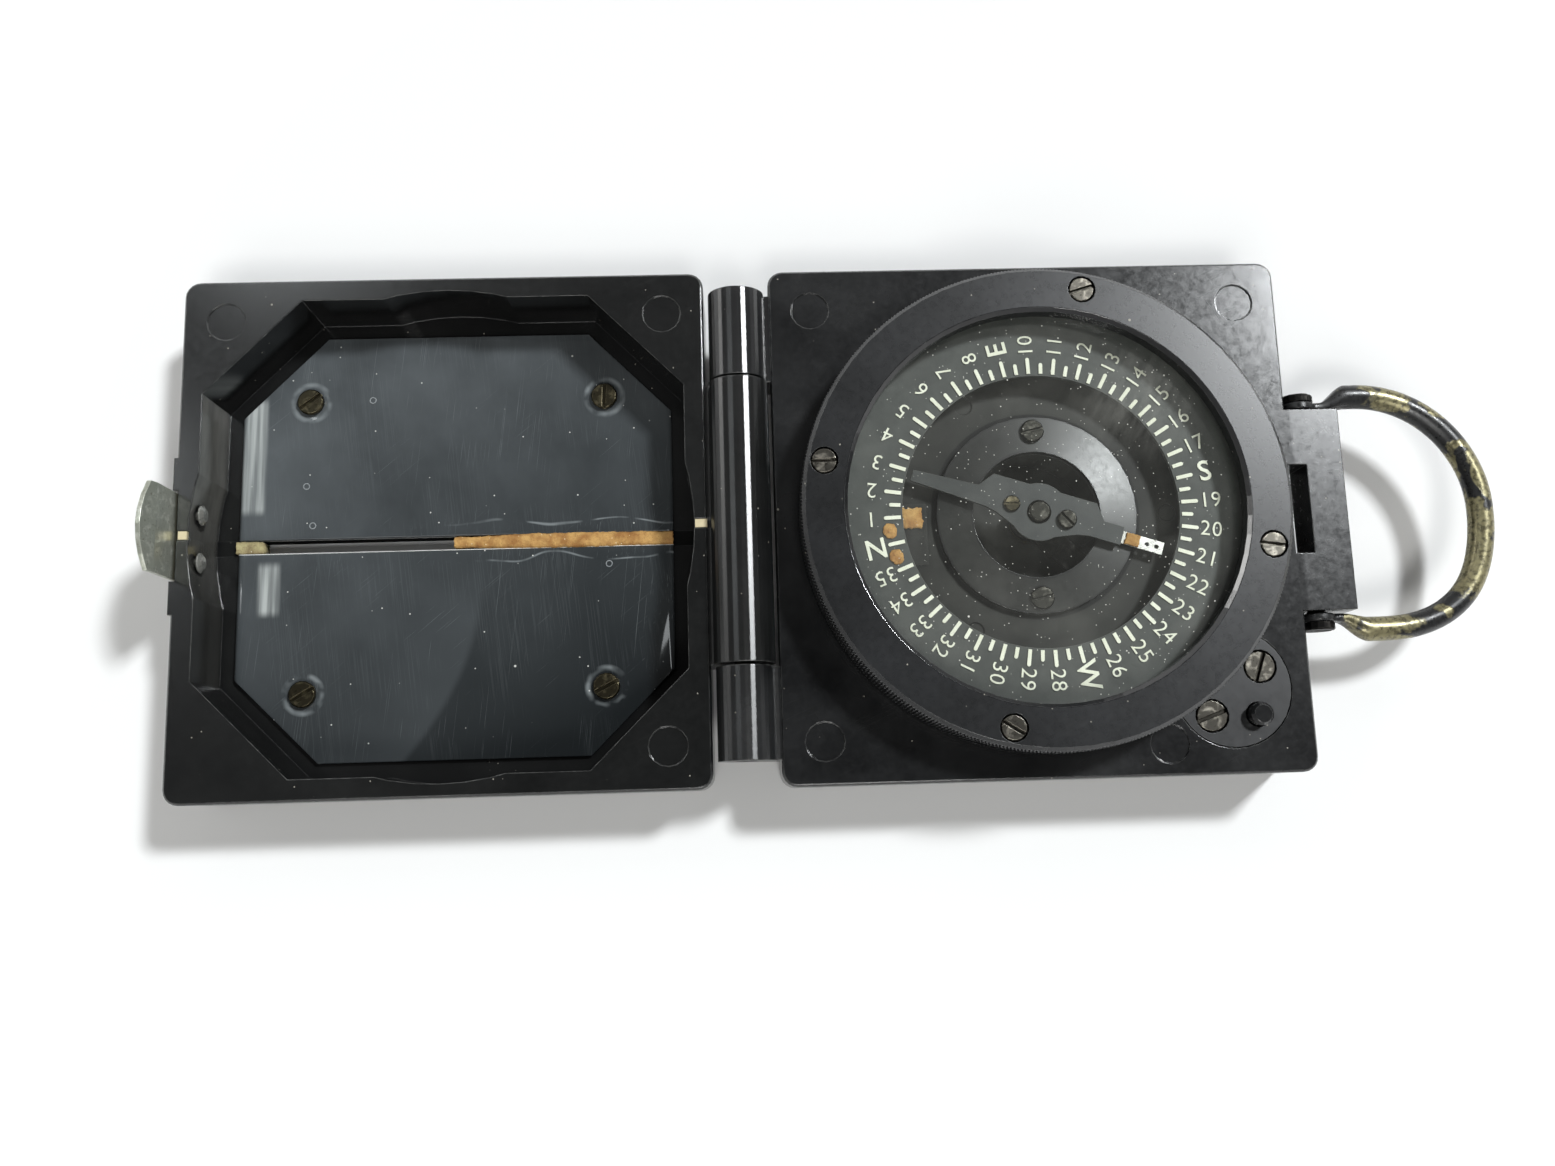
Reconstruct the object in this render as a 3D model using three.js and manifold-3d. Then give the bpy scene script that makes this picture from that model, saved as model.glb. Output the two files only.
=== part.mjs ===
import * as THREE from 'three';
import { mergeVertices } from 'three/addons/utils/BufferGeometryUtils.js';
import Module from 'manifold-3d';

// A folding sighting compass in moulded black plastic, opened flat on a table.
// Millimetres, +Z up. The origin lies on the table under the needle pivot.
// The lid opens towards -X and the thumb ring points towards +X.

// Clearances
const runGap = 0.3;
const seatGap = 0.1;
const pinGap = 0.15;
const sink = 1;

// Facets on large, middling and small rounds, and in hidden holes
const largeSides = 64;
const midSides = 36;
const smallSides = 16;
const holeSides = 12;
const curveSteps = 6;
const cornerSteps = 5;

// The two halves of the case
const caseSide = 76;
const caseDepth = 13;
const caseCorner = 2.2;
const footBevel = 1;
const rimBevel = 0.3;
const halvesGap = 9.6;
const closedGap = 0.3;
const markRadius = 2.8;
const markInset = 6.2;
const markDepth = 0.2;

// Hinge
const lidBarrelHalf = 20.6;
const barrelGap = 0.4;
const barrelInset = 3.8;
const lidBarrelClear = 0.4;
const baseBarrelClear = 0.7;
const webDrop = 7;
const hingePinRadius = 1.5;
const hingePinShort = 0.4;
const webTuck = 0.02;

// Turning bezel, stacked from the rim of the base upwards
const bezelMargin = 3.6;
const bezelWall = 4.4;
const flangeThickness = 1;
const keeperThickness = 0.6;
const keeperLap = 0.7;
const keeperWidth = 2.8;
const dialLap = 0.7;
const dialBand = 9.8;
const dialThickness = 0.7;
const glassThickness = 1.8;
const coverThickness = 2.4;
const coverLip = 2;
const coverChamfer = 0.5;
const bezelTurn = 11.8;
const bezelScrewInset = 2.65;
const bezelScrewTurn = 66;
const bezelSlotTurns = [5, -10, -45, -20];
const dotReach = 2;
const dotRadius = 1.1;
const dotHeight = 0.2;
const dotSpread = 5;

// Well under the dial
const spigotWall = 2.6;
const floorDrop = 0.6;
const floorMarkReach = 19.3;
const floorMarkRadius = 1.3;
const plateInner = 9.3;
const plateOuter = 14.6;
const plateThickness = 1;
const plateScrewInset = 2.25;
const plateSlotTurn = 12;
const recessStep = 0.1;

// Needle lock worked by the lid
const lockRadius = 8.4;
const lockThickness = 2.4;
const lockInsetX = 11.43;
const lockInsetY = 12.14;
const lockPitch = 5.1;
const lockScrewTurns = [-130, 35];
const lockSlotTurns = [20, 70];
const lockMarkGap = 1.2;
const lockMarkDrop = 1.7;
const plungerTurn = -49.4;
const plungerRadius = 1.65;
const plungerStroke = 2;
const plungerFlange = 0.75;
const plungerFlangeThickness = 1;
const plungerDome = 0.4;
const leverWidth = 3.6;
const leverThickness = 1.2;
const leverTail = 2.6;
const leverRoom = 2;
const leverBarrelWall = 0.65;
const leverPinRadius = 0.7;
const eyeWall = 1.3;
const earThickness = 1;
const earHalf = 1.4;
const channelClear = 1.1;
const roofThickness = 2.2;
const springLength = 4.1;
const springRadius = 1.7;
const springWire = 0.4;
const springTurns = 4;
const springSteps = 8;
const springSides = 5;

// Needle and its pivot
const postRadius = 1.3;
const postFlange = 1.3;
const postFlangeThickness = 1;
const postSeat = 1.8;
const postTipRadius = 0.15;
const collarWall = 0.6;
const needleHeight = 1.5;
const needleThickness = 0.5;
const needleHeading = -18;
const tailClear = 0.9;
const tipClear = 1.3;
const tailTaper = 0.6;
const armHalf = 1.35;
const tipBare = 6.2;
const bossHalf = 7.7;
const bossShoulder = 3.6;
const bossRadius = 4.25;
const bossSlope = 1.7;
const capRadius = 1.6;
const capRise = 0.6;
const capEdge = 0.25;
const capFlange = 0.7;
const capFlangeThickness = 0.4;
const needleScrewReach = 4.1;
const steelSlotTurn = -30;
const brassSlotTurn = 18;
const tipWidth = 1.8;
const tipThickness = 0.3;
const tipLap = 2;
const tipHoleRadius = 0.32;
const tipHoleInsets = [2.4, 1];
const needleDotGap = 0.6;
const needleDotLength = 2.1;
const needleDotHeight = 0.3;

// Index mark on the floor of the well
const indexReach = 18.05;
const indexSide = 3.1;
const indexHeight = 0.4;
const indexCorner = 0.3;
const indexNotch = 0.6;
const indexCoverLength = 9;
const indexCoverWidth = 4.1;
const indexCoverShift = -2.5;
const indexCoverThickness = 0.3;

// End lug and thumb ring
const lugReach = 7.8;
const lugHalf = 15;
const lugThickness = 6;
const slotHalf = 6.6;
const slotWidth = 2.4;
const ringPivotReach = 3;
const ringWire = 1.65;
const ringSpread = 2.65;
const ringReach = 26.4;
const ringCorner = 14;
const wireSides = 10;
const wireSteps = 36;
const tabThickness = 1.2;
const tabRadius = 2.5;
const tabLength = 6;
const tabNeck = 1.3;
const tabLap = 0.8;
const ringShank = 1.25;
const ringHead = 2.4;
const ringHeadHeight = 1.1;
const ringScrewDepth = 5;

// Lid
const recessClear = 0.45;
const recessBulge = 1.65;
const recessFlat = 20.9;
const lidFloor = 2.4;
const celluloidInset = 2.35;
const celluloidThickness = 0.8;
const slitHalf = 1;
const slitInset = 5;
const slitPlugLength = 4.8;
const slitEnd = -0.3;
const stripCrown = 0.25;
const lidScrewSquare = 22.3;
const lidSlotTurns = [88, 35, 30, 27];
const padHalf = 11.4;
const padThickness = 0.4;
const padFoot = 3;
const rimMarkWidth = 1.2;
const rimMarkDepth = 0.6;

// Spring catch on the end of the lid
const catchThickness = 0.6;
const catchHalf = 6.3;
const catchBury = 0.1;
const catchFoot = 6;
const catchRivetDrop = 3;
const catchStraight = 6;
const catchRise = 9;
const catchShoulder = 7.2;
const catchFlare = 1.1;
const catchTip = 1;
const rivetReach = 3.5;
const rivetShank = 0.8;
const rivetHead = 1.5;
const rivetHeadHeight = 0.6;
const rivetCrown = 0.9;
const rivetSeat = 0.5;

// Places worked out from the sizes above
const half = caseSide / 2;
const rimZ = caseDepth;
const hingeReach = half + halvesGap / 2;
const hingeZ = rimZ + closedGap / 2;
const bezelRadius = half - bezelMargin;
const counterbore = bezelRadius - bezelWall;
const aperture = counterbore - coverLip;
const keeperRadius = counterbore - dialLap - runGap;
const flangeInner = keeperRadius - keeperLap;
const spigotRadius = flangeInner - runGap;
const spigotInner = spigotRadius - spigotWall;
const flangeTop = runGap + flangeThickness;
const spigotHeight = flangeTop + runGap;
const keeperBottom = spigotHeight + seatGap;
const keeperTop = keeperBottom + keeperThickness;
const ledgeTop = keeperTop + runGap;
const dialBottom = ledgeTop + seatGap;
const dialTop = dialBottom + dialThickness;
const dialOuter = counterbore - runGap;
const dialInner = dialOuter - dialBand;
const glassBottom = dialTop + runGap;
const glassTop = glassBottom + glassThickness;
const coverBottom = glassTop + runGap;
const bezelHeight = coverBottom + coverThickness;
const floorZ = rimZ - floorDrop;
const plateBottom = floorZ + seatGap;
const plateTop = plateBottom + plateThickness;
const recessRadius = plateInner - recessStep;
const lockX = half - lockInsetX;
const lockY = -(half - lockInsetY);
const lockBottom = rimZ - lockThickness;
const plungerX = lockX + lockPitch * Math.cos(radians(plungerTurn));
const plungerY = lockY + lockPitch * Math.sin(radians(plungerTurn));
const plungerReach = Math.hypot(plungerX, plungerY);
const leverBearing = Math.atan2(plungerY, plungerX);
const plungerFlangeTop = lockBottom - runGap;
const leverTop = plungerFlangeTop - plungerFlangeThickness - runGap;
const leverBottom = leverTop - leverThickness;
const leverZ = (leverTop + leverBottom) / 2;
const leverPivot = (plateInner + plateOuter) / 2;
const leverEnd = plungerReach + leverTail;
const recessFloor = leverBottom - leverRoom;
const wellFloor = leverBottom - springLength - runGap - seatGap;
const channelHalf = leverWidth / 2 + channelClear;
const earInner = leverWidth / 2 + runGap;
const earOuter = earInner + earThickness;
const bladeBottom = rimZ + needleHeight;
const bladeTop = bladeBottom + needleThickness;
const needleTail = dialInner - tailClear;
const needleTip = dialInner - tipClear;
const armReach = needleTip - tipBare;
const capFlangeTop = bladeBottom - seatGap;
const capBottom = capFlangeTop - capFlangeThickness;
const capTop = bladeTop + capRise;
const collarBottom = leverTop + runGap;
const collarTop = capBottom - runGap;
const collarBore = postRadius + pinGap;
const ringPivotX = half + ringPivotReach;
const ringPivotZ = rimZ - lugThickness / 2;
const ringHalf = lugHalf + ringSpread;
const tabInner = lugHalf + runGap;
const tabOuter = tabInner + tabThickness;
const recessHalf = bezelRadius + recessClear;
const recessRound = bezelRadius + recessBulge;
const celluloidBottom = lidFloor + seatGap;
const celluloidTop = celluloidBottom + celluloidThickness;
const celluloidHalf = recessHalf - celluloidInset;
const slitReach = half - slitInset;
const catchInner = half - catchBury;
const catchOuter = catchInner + catchThickness;
const catchChannel = catchInner - runGap;

const wasm = await Module();
wasm.setup();

function radians(degrees) {
  return THREE.MathUtils.degToRad(degrees);
}

// Solids: welded meshes are joined, cut and turned back into geometry

function solidOf(geometry) {
  const bare = geometry.clone();
  bare.deleteAttribute('normal');
  bare.deleteAttribute('uv');
  const welded = mergeVertices(bare, 1e-4);
  const corners = welded.index.array;
  const kept = [];
  for (let i = 0; i < corners.length; i += 3) {
    const [a, b, c] = corners.slice(i, i + 3);
    if (a !== b && b !== c && c !== a) kept.push(a, b, c);
  }
  const mesh = new wasm.Mesh({
    numProp: 3,
    vertProperties: Float32Array.from(welded.attributes.position.array),
    triVerts: Uint32Array.from(kept),
  });
  return new wasm.Manifold(mesh);
}

function geometryOf(solid) {
  const mesh = solid.getMesh();
  const geometry = new THREE.BufferGeometry();
  geometry.setAttribute('position', new THREE.BufferAttribute(mesh.vertProperties, 3));
  geometry.setIndex(new THREE.BufferAttribute(mesh.triVerts, 1));
  geometry.computeVertexNormals();
  return geometry;
}

function join(...pieces) {
  return geometryOf(pieces.map(solidOf).reduce((sum, piece) => sum.add(piece)));
}

function cut(body, ...tools) {
  return geometryOf(tools.map(solidOf).reduce((rest, tool) => rest.subtract(tool), solidOf(body)));
}

function meet(first, second) {
  return geometryOf(solidOf(first).intersect(solidOf(second)));
}

// Plain forms

function box([x0, x1], [y0, y1], [z0, z1]) {
  const block = new THREE.BoxGeometry(x1 - x0, y1 - y0, z1 - z0);
  return block.translate((x0 + x1) / 2, (y0 + y1) / 2, (z0 + z1) / 2);
}

function disc(radius, bottom, top, sides = smallSides) {
  const round = new THREE.CylinderGeometry(radius, radius, top - bottom, sides);
  return round.rotateX(Math.PI / 2).translate(0, 0, (bottom + top) / 2);
}

function pinAcross(radius, y0, y1, sides = smallSides) {
  return new THREE.CylinderGeometry(radius, radius, y1 - y0, sides).translate(0, (y0 + y1) / 2, 0);
}

function revolve(profile, sides = largeSides) {
  const points = profile.map(([radius, height]) => new THREE.Vector2(radius, height));
  const onAxis = points[0].x === 0 && points.at(-1).x === 0;
  if (!onAxis) points.push(points[0].clone());
  return new THREE.LatheGeometry(points, sides).rotateX(Math.PI / 2);
}

function ring(inner, outer, bottom, top, sides = largeSides) {
  return revolve([[inner, bottom], [outer, bottom], [outer, top], [inner, top]], sides);
}

function outline(points) {
  return new THREE.Shape(points.map(([x, y]) => new THREE.Vector2(x, y)));
}

function slab(shape, bottom, top) {
  const settings = { depth: top - bottom, bevelEnabled: false, curveSegments: curveSteps };
  return new THREE.ExtrudeGeometry(shape, settings).translate(0, 0, bottom);
}

// A section drawn in X and Z and run along Y
function bar(shape, y0, y1) {
  return slab(shape, 0, y1 - y0).rotateX(Math.PI / 2).translate(0, y1, 0);
}

// A section drawn in Y and Z and run along X
function barAlongX(shape, x0, x1) {
  return slab(shape, 0, x1 - x0).rotateX(Math.PI / 2).rotateZ(Math.PI / 2).translate(x0, 0, 0);
}

// One half of the case: round corners, a soft foot edge and a faint rim edge
function caseBlock() {
  const levels = [[footBevel, 0], [0, footBevel], [0, caseDepth - rimBevel], [rimBevel, caseDepth]];
  const rings = levels.map(([inset, z]) => {
    const points = [];
    const radius = caseCorner - inset;
    for (let corner = 0; corner < 4; corner += 1) {
      for (let step = 0; step <= cornerSteps; step += 1) {
        const angle = (corner + step / cornerSteps) * (Math.PI / 2);
        const sideX = Math.sign(Math.cos(radians(corner * 90 + 45)));
        const sideY = Math.sign(Math.sin(radians(corner * 90 + 45)));
        const x = sideX * (half - caseCorner) + radius * Math.cos(angle);
        const y = sideY * (half - caseCorner) + radius * Math.sin(angle);
        points.push(new THREE.Vector3(x, y, z));
      }
    }
    return points;
  });
  return loft(rings);
}

// Skin over rings of as many points each, closed by a fan at both ends
function loft(rings) {
  const count = rings[0].length;
  const faces = [];
  for (let level = 0; level + 1 < rings.length; level += 1) {
    for (let i = 0; i < count; i += 1) {
      const a = level * count + i;
      const b = level * count + ((i + 1) % count);
      faces.push(a, b, b + count, a, b + count, a + count);
    }
  }
  const last = (rings.length - 1) * count;
  for (let i = 1; i + 1 < count; i += 1) {
    faces.push(0, i + 1, i, last, last + i, last + i + 1);
  }
  const geometry = new THREE.BufferGeometry().setFromPoints(rings.flat());
  geometry.setIndex(faces);
  return geometry;
}

// A slotted screw, its seat at z = 0 and its shank below
function slottedScrew({ head, rise, shank, length, slot, depth }) {
  const stem = [[0, -length], [shank, -length], [shank, 0]];
  const top = [[head, 0], [head, rise - screwEdge], [head - screwEdge, rise], [0, rise]];
  const groove = box([-head - sink, head + sink], [-slot / 2, slot / 2], [rise - depth, rise + sink]);
  return cut(revolve([...stem, ...top], smallSides), groove);
}

const screwEdge = 0.2;
const bezelScrew = { head: 1.85, rise: 1.1, shank: 0.9, length: 3.6, slot: 0.55, depth: 0.5 };
const plateScrew = { head: 1.7, rise: 0.6, shank: 0.9, length: 3.4, slot: 0.5, depth: 0.35 };
const lockScrew = { head: 2.3, rise: 1.2, shank: 1.1, length: 4.4, slot: 0.6, depth: 0.55 };
const lidScrew = { head: 2, rise: 0.7, shank: 1, length: 2.3, slot: 0.6, depth: 0.4 };
const needleSteelScrew = { head: 1.4, rise: 0.55, shank: 0.6, length: 0.9, slot: 0.4, depth: 0.3 };
const needleBrassScrew = { head: 1.2, rise: 0.45, shank: 0.6, length: 0.9, slot: 0.35, depth: 0.25 };
const ringScrew = {
  head: ringHead, rise: ringHeadHeight, shank: ringShank,
  length: tabThickness + runGap + ringScrewDepth, slot: 0.7, depth: 0.5,
};

function holeFor(screw, bottom, top) {
  return disc(screw.shank + pinGap, bottom, top, holeSides);
}

// Materials

const bakelite = { color: 0x15161a, roughness: 0.42, metalness: 0 };
const glossBakelite = { color: 0x0c0d10, roughness: 0.18, metalness: 0 };
const darkSteel = { color: 0x4c4c4a, roughness: 0.38, metalness: 0.85 };
const brass = { color: 0x8a7338, roughness: 0.36, metalness: 0.9 };
const nickel = { color: 0xb9bcae, roughness: 0.3, metalness: 0.9 };
const lacquer = { color: 0x2a2823, roughness: 0.35, metalness: 0.5 };
const dialBlack = { color: 0x35383b, roughness: 0.7, metalness: 0 };
const needleBlack = { color: 0x3b4240, roughness: 0.5, metalness: 0.3 };
const silver = { color: 0xd9dad6, roughness: 0.3, metalness: 0.9 };
const compound = { color: 0xa8672a, roughness: 0.85, metalness: 0 };
const cream = { color: 0xd8cba6, roughness: 0.8, metalness: 0 };
const clear = { color: 0xe8eef0, roughness: 0.05, metalness: 0, transparent: true, opacity: 0.3 };
const hazy = { color: 0x39414a, roughness: 0.16, metalness: 0 };

function piece(name, geometry, look) {
  const mesh = new THREE.Mesh(geometry, new THREE.MeshStandardMaterial(look));
  mesh.name = name;
  return mesh;
}

// Shallow round marks that the mould leaves on the rims
function rimMarks(places) {
  return places.map(([x, y]) => disc(markRadius, rimZ - markDepth, rimZ + sink).translate(x, y, 0));
}

// A hinge knuckle beside a wall: side is +1 where the wall lies towards +X of the axis
function knuckle(radius, side, y0, y1) {
  const wall = halvesGap / 2 + sink;
  const top = -closedGap;
  const bottom = -closedGap / 2 - webDrop;
  const web = outline([[0, top], [0, webTuck - radius], [side * wall, bottom], [side * wall, top]]);
  return join(pinAcross(radius, y0, y1, midSides), bar(web, y0, y1));
}

// Base

function makeBaseCase() {
  const corner = half - markInset;
  const barrelNear = lidBarrelHalf + barrelGap;
  const barrelFar = half - barrelInset;
  const axisX = -hingeReach;
  const barrelRadius = halvesGap / 2 - baseBarrelClear;
  const knuckles = [[barrelNear, barrelFar], [-barrelFar, -barrelNear]];
  const lug = box([half - sink, half + lugReach], [-lugHalf, lugHalf], [rimZ - lugThickness, rimZ]);
  const body = join(
    caseBlock(),
    ring(spigotInner, spigotRadius, floorZ - sink, rimZ + spigotHeight),
    lug,
    ...knuckles.map(([y0, y1]) => knuckle(barrelRadius, 1, y0, y1).translate(axisX, 0, hingeZ)),
  );

  const well = disc(spigotInner, floorZ, rimZ + spigotHeight + sink, largeSides);
  const floorMarks = [0, 120, 240].map((turn) => {
    const mark = disc(floorMarkRadius, floorZ - markDepth, floorZ + sink);
    return mark.translate(floorMarkReach, 0, 0).rotateZ(radians(turn));
  });
  const recess = disc(recessRadius, recessFloor, floorZ + sink, midSides);
  const earSpan = [-earOuter - runGap, earOuter + runGap];
  const earSlot = box([0, plateOuter - runGap], earSpan, [recessFloor, floorZ + sink]);
  const channelEnd = leverEnd + runGap * 2;
  const channelSpan = [-channelHalf, channelHalf];
  const tunnel = box([0, channelEnd], channelSpan, [recessFloor, floorZ - roofThickness]);
  const springWell = box([plungerReach - channelHalf * 2, channelEnd], channelSpan, [wellFloor, lockBottom]);
  const channel = [earSlot, tunnel, springWell].map((hollow) => hollow.rotateZ(leverBearing));
  const lockSeat = disc(lockRadius + pinGap, lockBottom - seatGap, rimZ + sink, midSides);
  lockSeat.translate(lockX, lockY, 0);
  const lockHoles = lockScrewTurns.map((turn) => {
    const hole = holeFor(lockScrew, lockBottom - lockScrew.length, lockBottom);
    return hole.translate(lockPitch, 0, 0).rotateZ(radians(turn)).translate(lockX, lockY, 0);
  });
  const plateHoles = [1, -1].map((side) => {
    const hole = holeFor(plateScrew, plateTop - plateScrew.length - runGap, floorZ + sink);
    return hole.translate(0, side * (plateOuter - plateScrewInset), 0);
  });
  const postHole = disc(postRadius + pinGap, recessFloor - postSeat - seatGap, recessFloor + sink);
  const slotBottom = rimZ - catchRise - runGap * 2;
  const slot = box([catchChannel, half + slotWidth], [-slotHalf, slotHalf], [slotBottom, rimZ + sink]);
  const hingeBore = pinAcross(hingePinRadius + pinGap, -caseSide, caseSide).translate(axisX, 0, hingeZ);
  const ringHoles = [1, -1].map((side) => {
    const hole = pinAcross(ringShank + pinGap, lugHalf - ringScrewDepth - runGap, lugHalf + sink);
    return hole.rotateZ(side > 0 ? 0 : Math.PI).translate(ringPivotX, 0, ringPivotZ);
  });
  const lockMark = [lockX - lockRadius - lockMarkGap, -corner - lockMarkDrop];
  const marks = rimMarks([[-corner, corner], [corner, corner], [-corner, -corner], lockMark]);
  return cut(
    body, well, recess, ...channel, lockSeat, ...lockHoles, ...plateHoles,
    postHole, slot, hingeBore, ...ringHoles, ...marks, ...floorMarks,
  );
}

// Ring plate over the recess, with two ears below it that carry the lever
function makeCentrePlate() {
  const plate = ring(plateInner, plateOuter, plateBottom, plateTop, midSides);
  const earBottom = leverZ - leverPinRadius - leverBarrelWall - pinGap;
  const ears = [1, -1].map((side) => {
    const ear = box(
      [leverPivot - earHalf, leverPivot + earHalf],
      [Math.min(side * earInner, side * earOuter), Math.max(side * earInner, side * earOuter)],
      [earBottom, plateBottom + plateThickness / 2],
    );
    return ear.rotateZ(leverBearing);
  });
  const pinHole = pinAcross(leverPinRadius + pinGap, -earOuter - sink, earOuter + sink);
  pinHole.translate(leverPivot, 0, leverZ).rotateZ(leverBearing);
  const screwHoles = [1, -1].map((side) => {
    const hole = holeFor(plateScrew, plateBottom - sink, plateTop + sink);
    return hole.translate(0, side * (plateOuter - plateScrewInset), 0);
  });
  return cut(join(plate, ...ears), pinHole, ...screwHoles);
}

function makePivotPost() {
  const tip = bladeTop;
  const shoulder = plateBottom;
  const foot = recessFloor - postSeat;
  const flange = recessFloor + seatGap;
  const flangeTop = flange + postFlangeThickness;
  return revolve([
    [0, foot], [postRadius, foot], [postRadius, flange], [postRadius + postFlange, flange],
    [postRadius + postFlange, flangeTop], [postRadius, flangeTop], [postRadius, shoulder],
    [postTipRadius, tip], [0, tip],
  ], smallSides);
}

function makeLockDisc() {
  const plate = disc(lockRadius, lockBottom, rimZ, midSides);
  const plungerHole = disc(plungerRadius + pinGap, lockBottom - sink, rimZ + sink);
  plungerHole.translate(lockPitch, 0, 0).rotateZ(radians(plungerTurn));
  const seats = lockScrewTurns.flatMap((turn) => {
    const hole = holeFor(lockScrew, lockBottom - sink, rimZ + sink);
    const sunk = disc(lockScrew.head + pinGap, rimZ - lockScrew.rise - seatGap, rimZ + sink);
    return [hole, sunk].map((tool) => tool.translate(lockPitch, 0, 0).rotateZ(radians(turn)));
  });
  return cut(plate, plungerHole, ...seats);
}

function makePlunger() {
  const flange = plungerRadius + plungerFlange;
  const bottom = plungerFlangeTop - plungerFlangeThickness;
  const top = rimZ + plungerStroke;
  return revolve([
    [0, bottom], [flange, bottom], [flange, plungerFlangeTop], [plungerRadius, plungerFlangeTop],
    [plungerRadius, top - plungerDome], [plungerRadius - plungerDome, top], [0, top],
  ], smallSides);
}

// Lever from the plunger to the eye round the post, rocking on a cross pin
function makeLever() {
  const barrelRadius = leverPinRadius + pinGap + leverBarrelWall;
  const eyeBore = collarBore + pinGap;
  const eye = disc(eyeBore + eyeWall, leverBottom, leverTop);
  const side = leverWidth / 2;
  const arm = box([0, leverEnd - side], [-side, side], [leverBottom, leverTop]);
  const end = disc(side, leverBottom, leverTop).translate(leverEnd - side, 0, 0);
  const barrel = pinAcross(barrelRadius, -side, side).translate(leverPivot, 0, leverZ);
  const pinHole = pinAcross(leverPinRadius + pinGap, -leverWidth, leverWidth);
  pinHole.translate(leverPivot, 0, leverZ);
  const postHole = disc(eyeBore, leverBottom - sink, leverTop + sink);
  return cut(join(eye, arm, end, barrel), pinHole, postHole).rotateZ(leverBearing);
}

function makeCollar() {
  const sleeve = collarBore + collarWall;
  const foot = sleeve + collarWall / 2;
  const footTop = collarBottom + collarWall;
  return revolve([
    [collarBore, collarBottom], [foot, collarBottom], [foot, footTop], [sleeve, footTop],
    [sleeve, collarTop], [collarBore, collarTop],
  ], smallSides);
}

// Coil between the floor of the spring well and the lever: one unbroken wire
function makeSpring() {
  const wire = springWire / 2;
  const steps = springTurns * springSteps;
  const low = wellFloor + seatGap + wire;
  const high = low + springLength - springWire;
  const centres = [];
  const rings = [];
  for (let step = 0; step <= steps; step += 1) {
    const turn = (step / springSteps) * Math.PI * 2;
    const along = new THREE.Vector3(Math.cos(turn), Math.sin(turn), 0);
    const centre = along.clone().multiplyScalar(springRadius - wire);
    centre.z = low + (high - low) * (step / steps);
    centres.push(centre);
    rings.push(Array.from({ length: springSides }, (unused, side) => {
      const angle = (side / springSides) * Math.PI * 2;
      const point = centre.clone().addScaledVector(along, wire * Math.cos(angle));
      point.z -= wire * Math.sin(angle);
      return point;
    }));
  }
  const gaps = centres.flatMap((from, i) => {
    return centres.slice(i + springSteps / 2).map((to) => from.distanceTo(to));
  });
  console.log('least gap between the spring turns', (Math.min(...gaps) - springWire).toFixed(2), 'mm');
  return loft(rings).translate(plungerX, plungerY, 0);
}

// Index mark: a patch of compound under a clear plate, at the hinge side of the well
function makeIndexPatch() {
  const edge = indexSide / 2;
  const corner = edge - indexCorner;
  const notch = edge - indexNotch;
  const patch = outline([
    [-edge, -notch], [-corner, -edge], [notch, -edge], [notch, -corner], [edge, -corner],
    [edge, notch], [corner, edge], [-notch, edge], [-notch, corner], [-edge, corner],
  ]);
  const bottom = floorZ + seatGap;
  return slab(patch, bottom, bottom + indexHeight).translate(-indexReach, 0, 0);
}

function makeIndexCover() {
  const bottom = floorZ + indexHeight + seatGap * 2;
  return box(
    [-indexReach - indexCoverWidth / 2, -indexReach + indexCoverWidth / 2],
    [indexCoverShift - indexCoverLength / 2, indexCoverShift + indexCoverLength / 2],
    [bottom, bottom + indexCoverThickness],
  );
}

// Bezel, drawn from the rim of the base upwards

function bezelScrewPlaces() {
  return [0, 1, 2, 3].map((quarter) => {
    const angle = radians(bezelScrewTurn + quarter * 90);
    const reach = bezelRadius - bezelScrewInset;
    return [reach * Math.cos(angle), reach * Math.sin(angle)];
  });
}

function makeBezelRing() {
  const bore = counterbore - dialLap;
  const top = coverBottom - seatGap;
  const edge = coverChamfer;
  const body = revolve([
    [flangeInner, runGap], [bezelRadius - edge, runGap], [bezelRadius, runGap + edge], [bezelRadius, top],
    [counterbore, top], [counterbore, ledgeTop], [bore, ledgeTop], [bore, flangeTop],
    [flangeInner, flangeTop],
  ]);
  const depth = bezelHeight - bezelScrew.rise - bezelScrew.length - runGap;
  const holes = bezelScrewPlaces().map(([x, y]) => {
    return holeFor(bezelScrew, depth, top + sink).translate(x, y, 0);
  });
  return cut(body, ...holes);
}

function makeBezelCover() {
  const edge = coverChamfer;
  const body = revolve([
    [aperture, coverBottom], [bezelRadius, coverBottom], [bezelRadius, bezelHeight - edge],
    [bezelRadius - edge, bezelHeight], [aperture + edge, bezelHeight], [aperture, bezelHeight - edge],
  ]);
  const seats = bezelScrewPlaces().flatMap(([x, y]) => {
    const hole = holeFor(bezelScrew, coverBottom - sink, bezelHeight + sink);
    const sunk = disc(bezelScrew.head + pinGap, bezelHeight - bezelScrew.rise - seatGap, bezelHeight + sink);
    return [hole, sunk].map((tool) => tool.translate(x, y, 0));
  });
  return cut(body, ...seats);
}

function makeDial() {
  return ring(dialInner, dialOuter, dialBottom, dialTop);
}

function makeDialDot(side) {
  const bottom = dialTop + seatGap / 2;
  const dot = disc(dotRadius, bottom, bottom + dotHeight);
  return dot.translate(-dialInner - dotReach, 0, 0).rotateZ(radians(side * dotSpread));
}

// Needle, drawn along +X from its pivot

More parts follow.
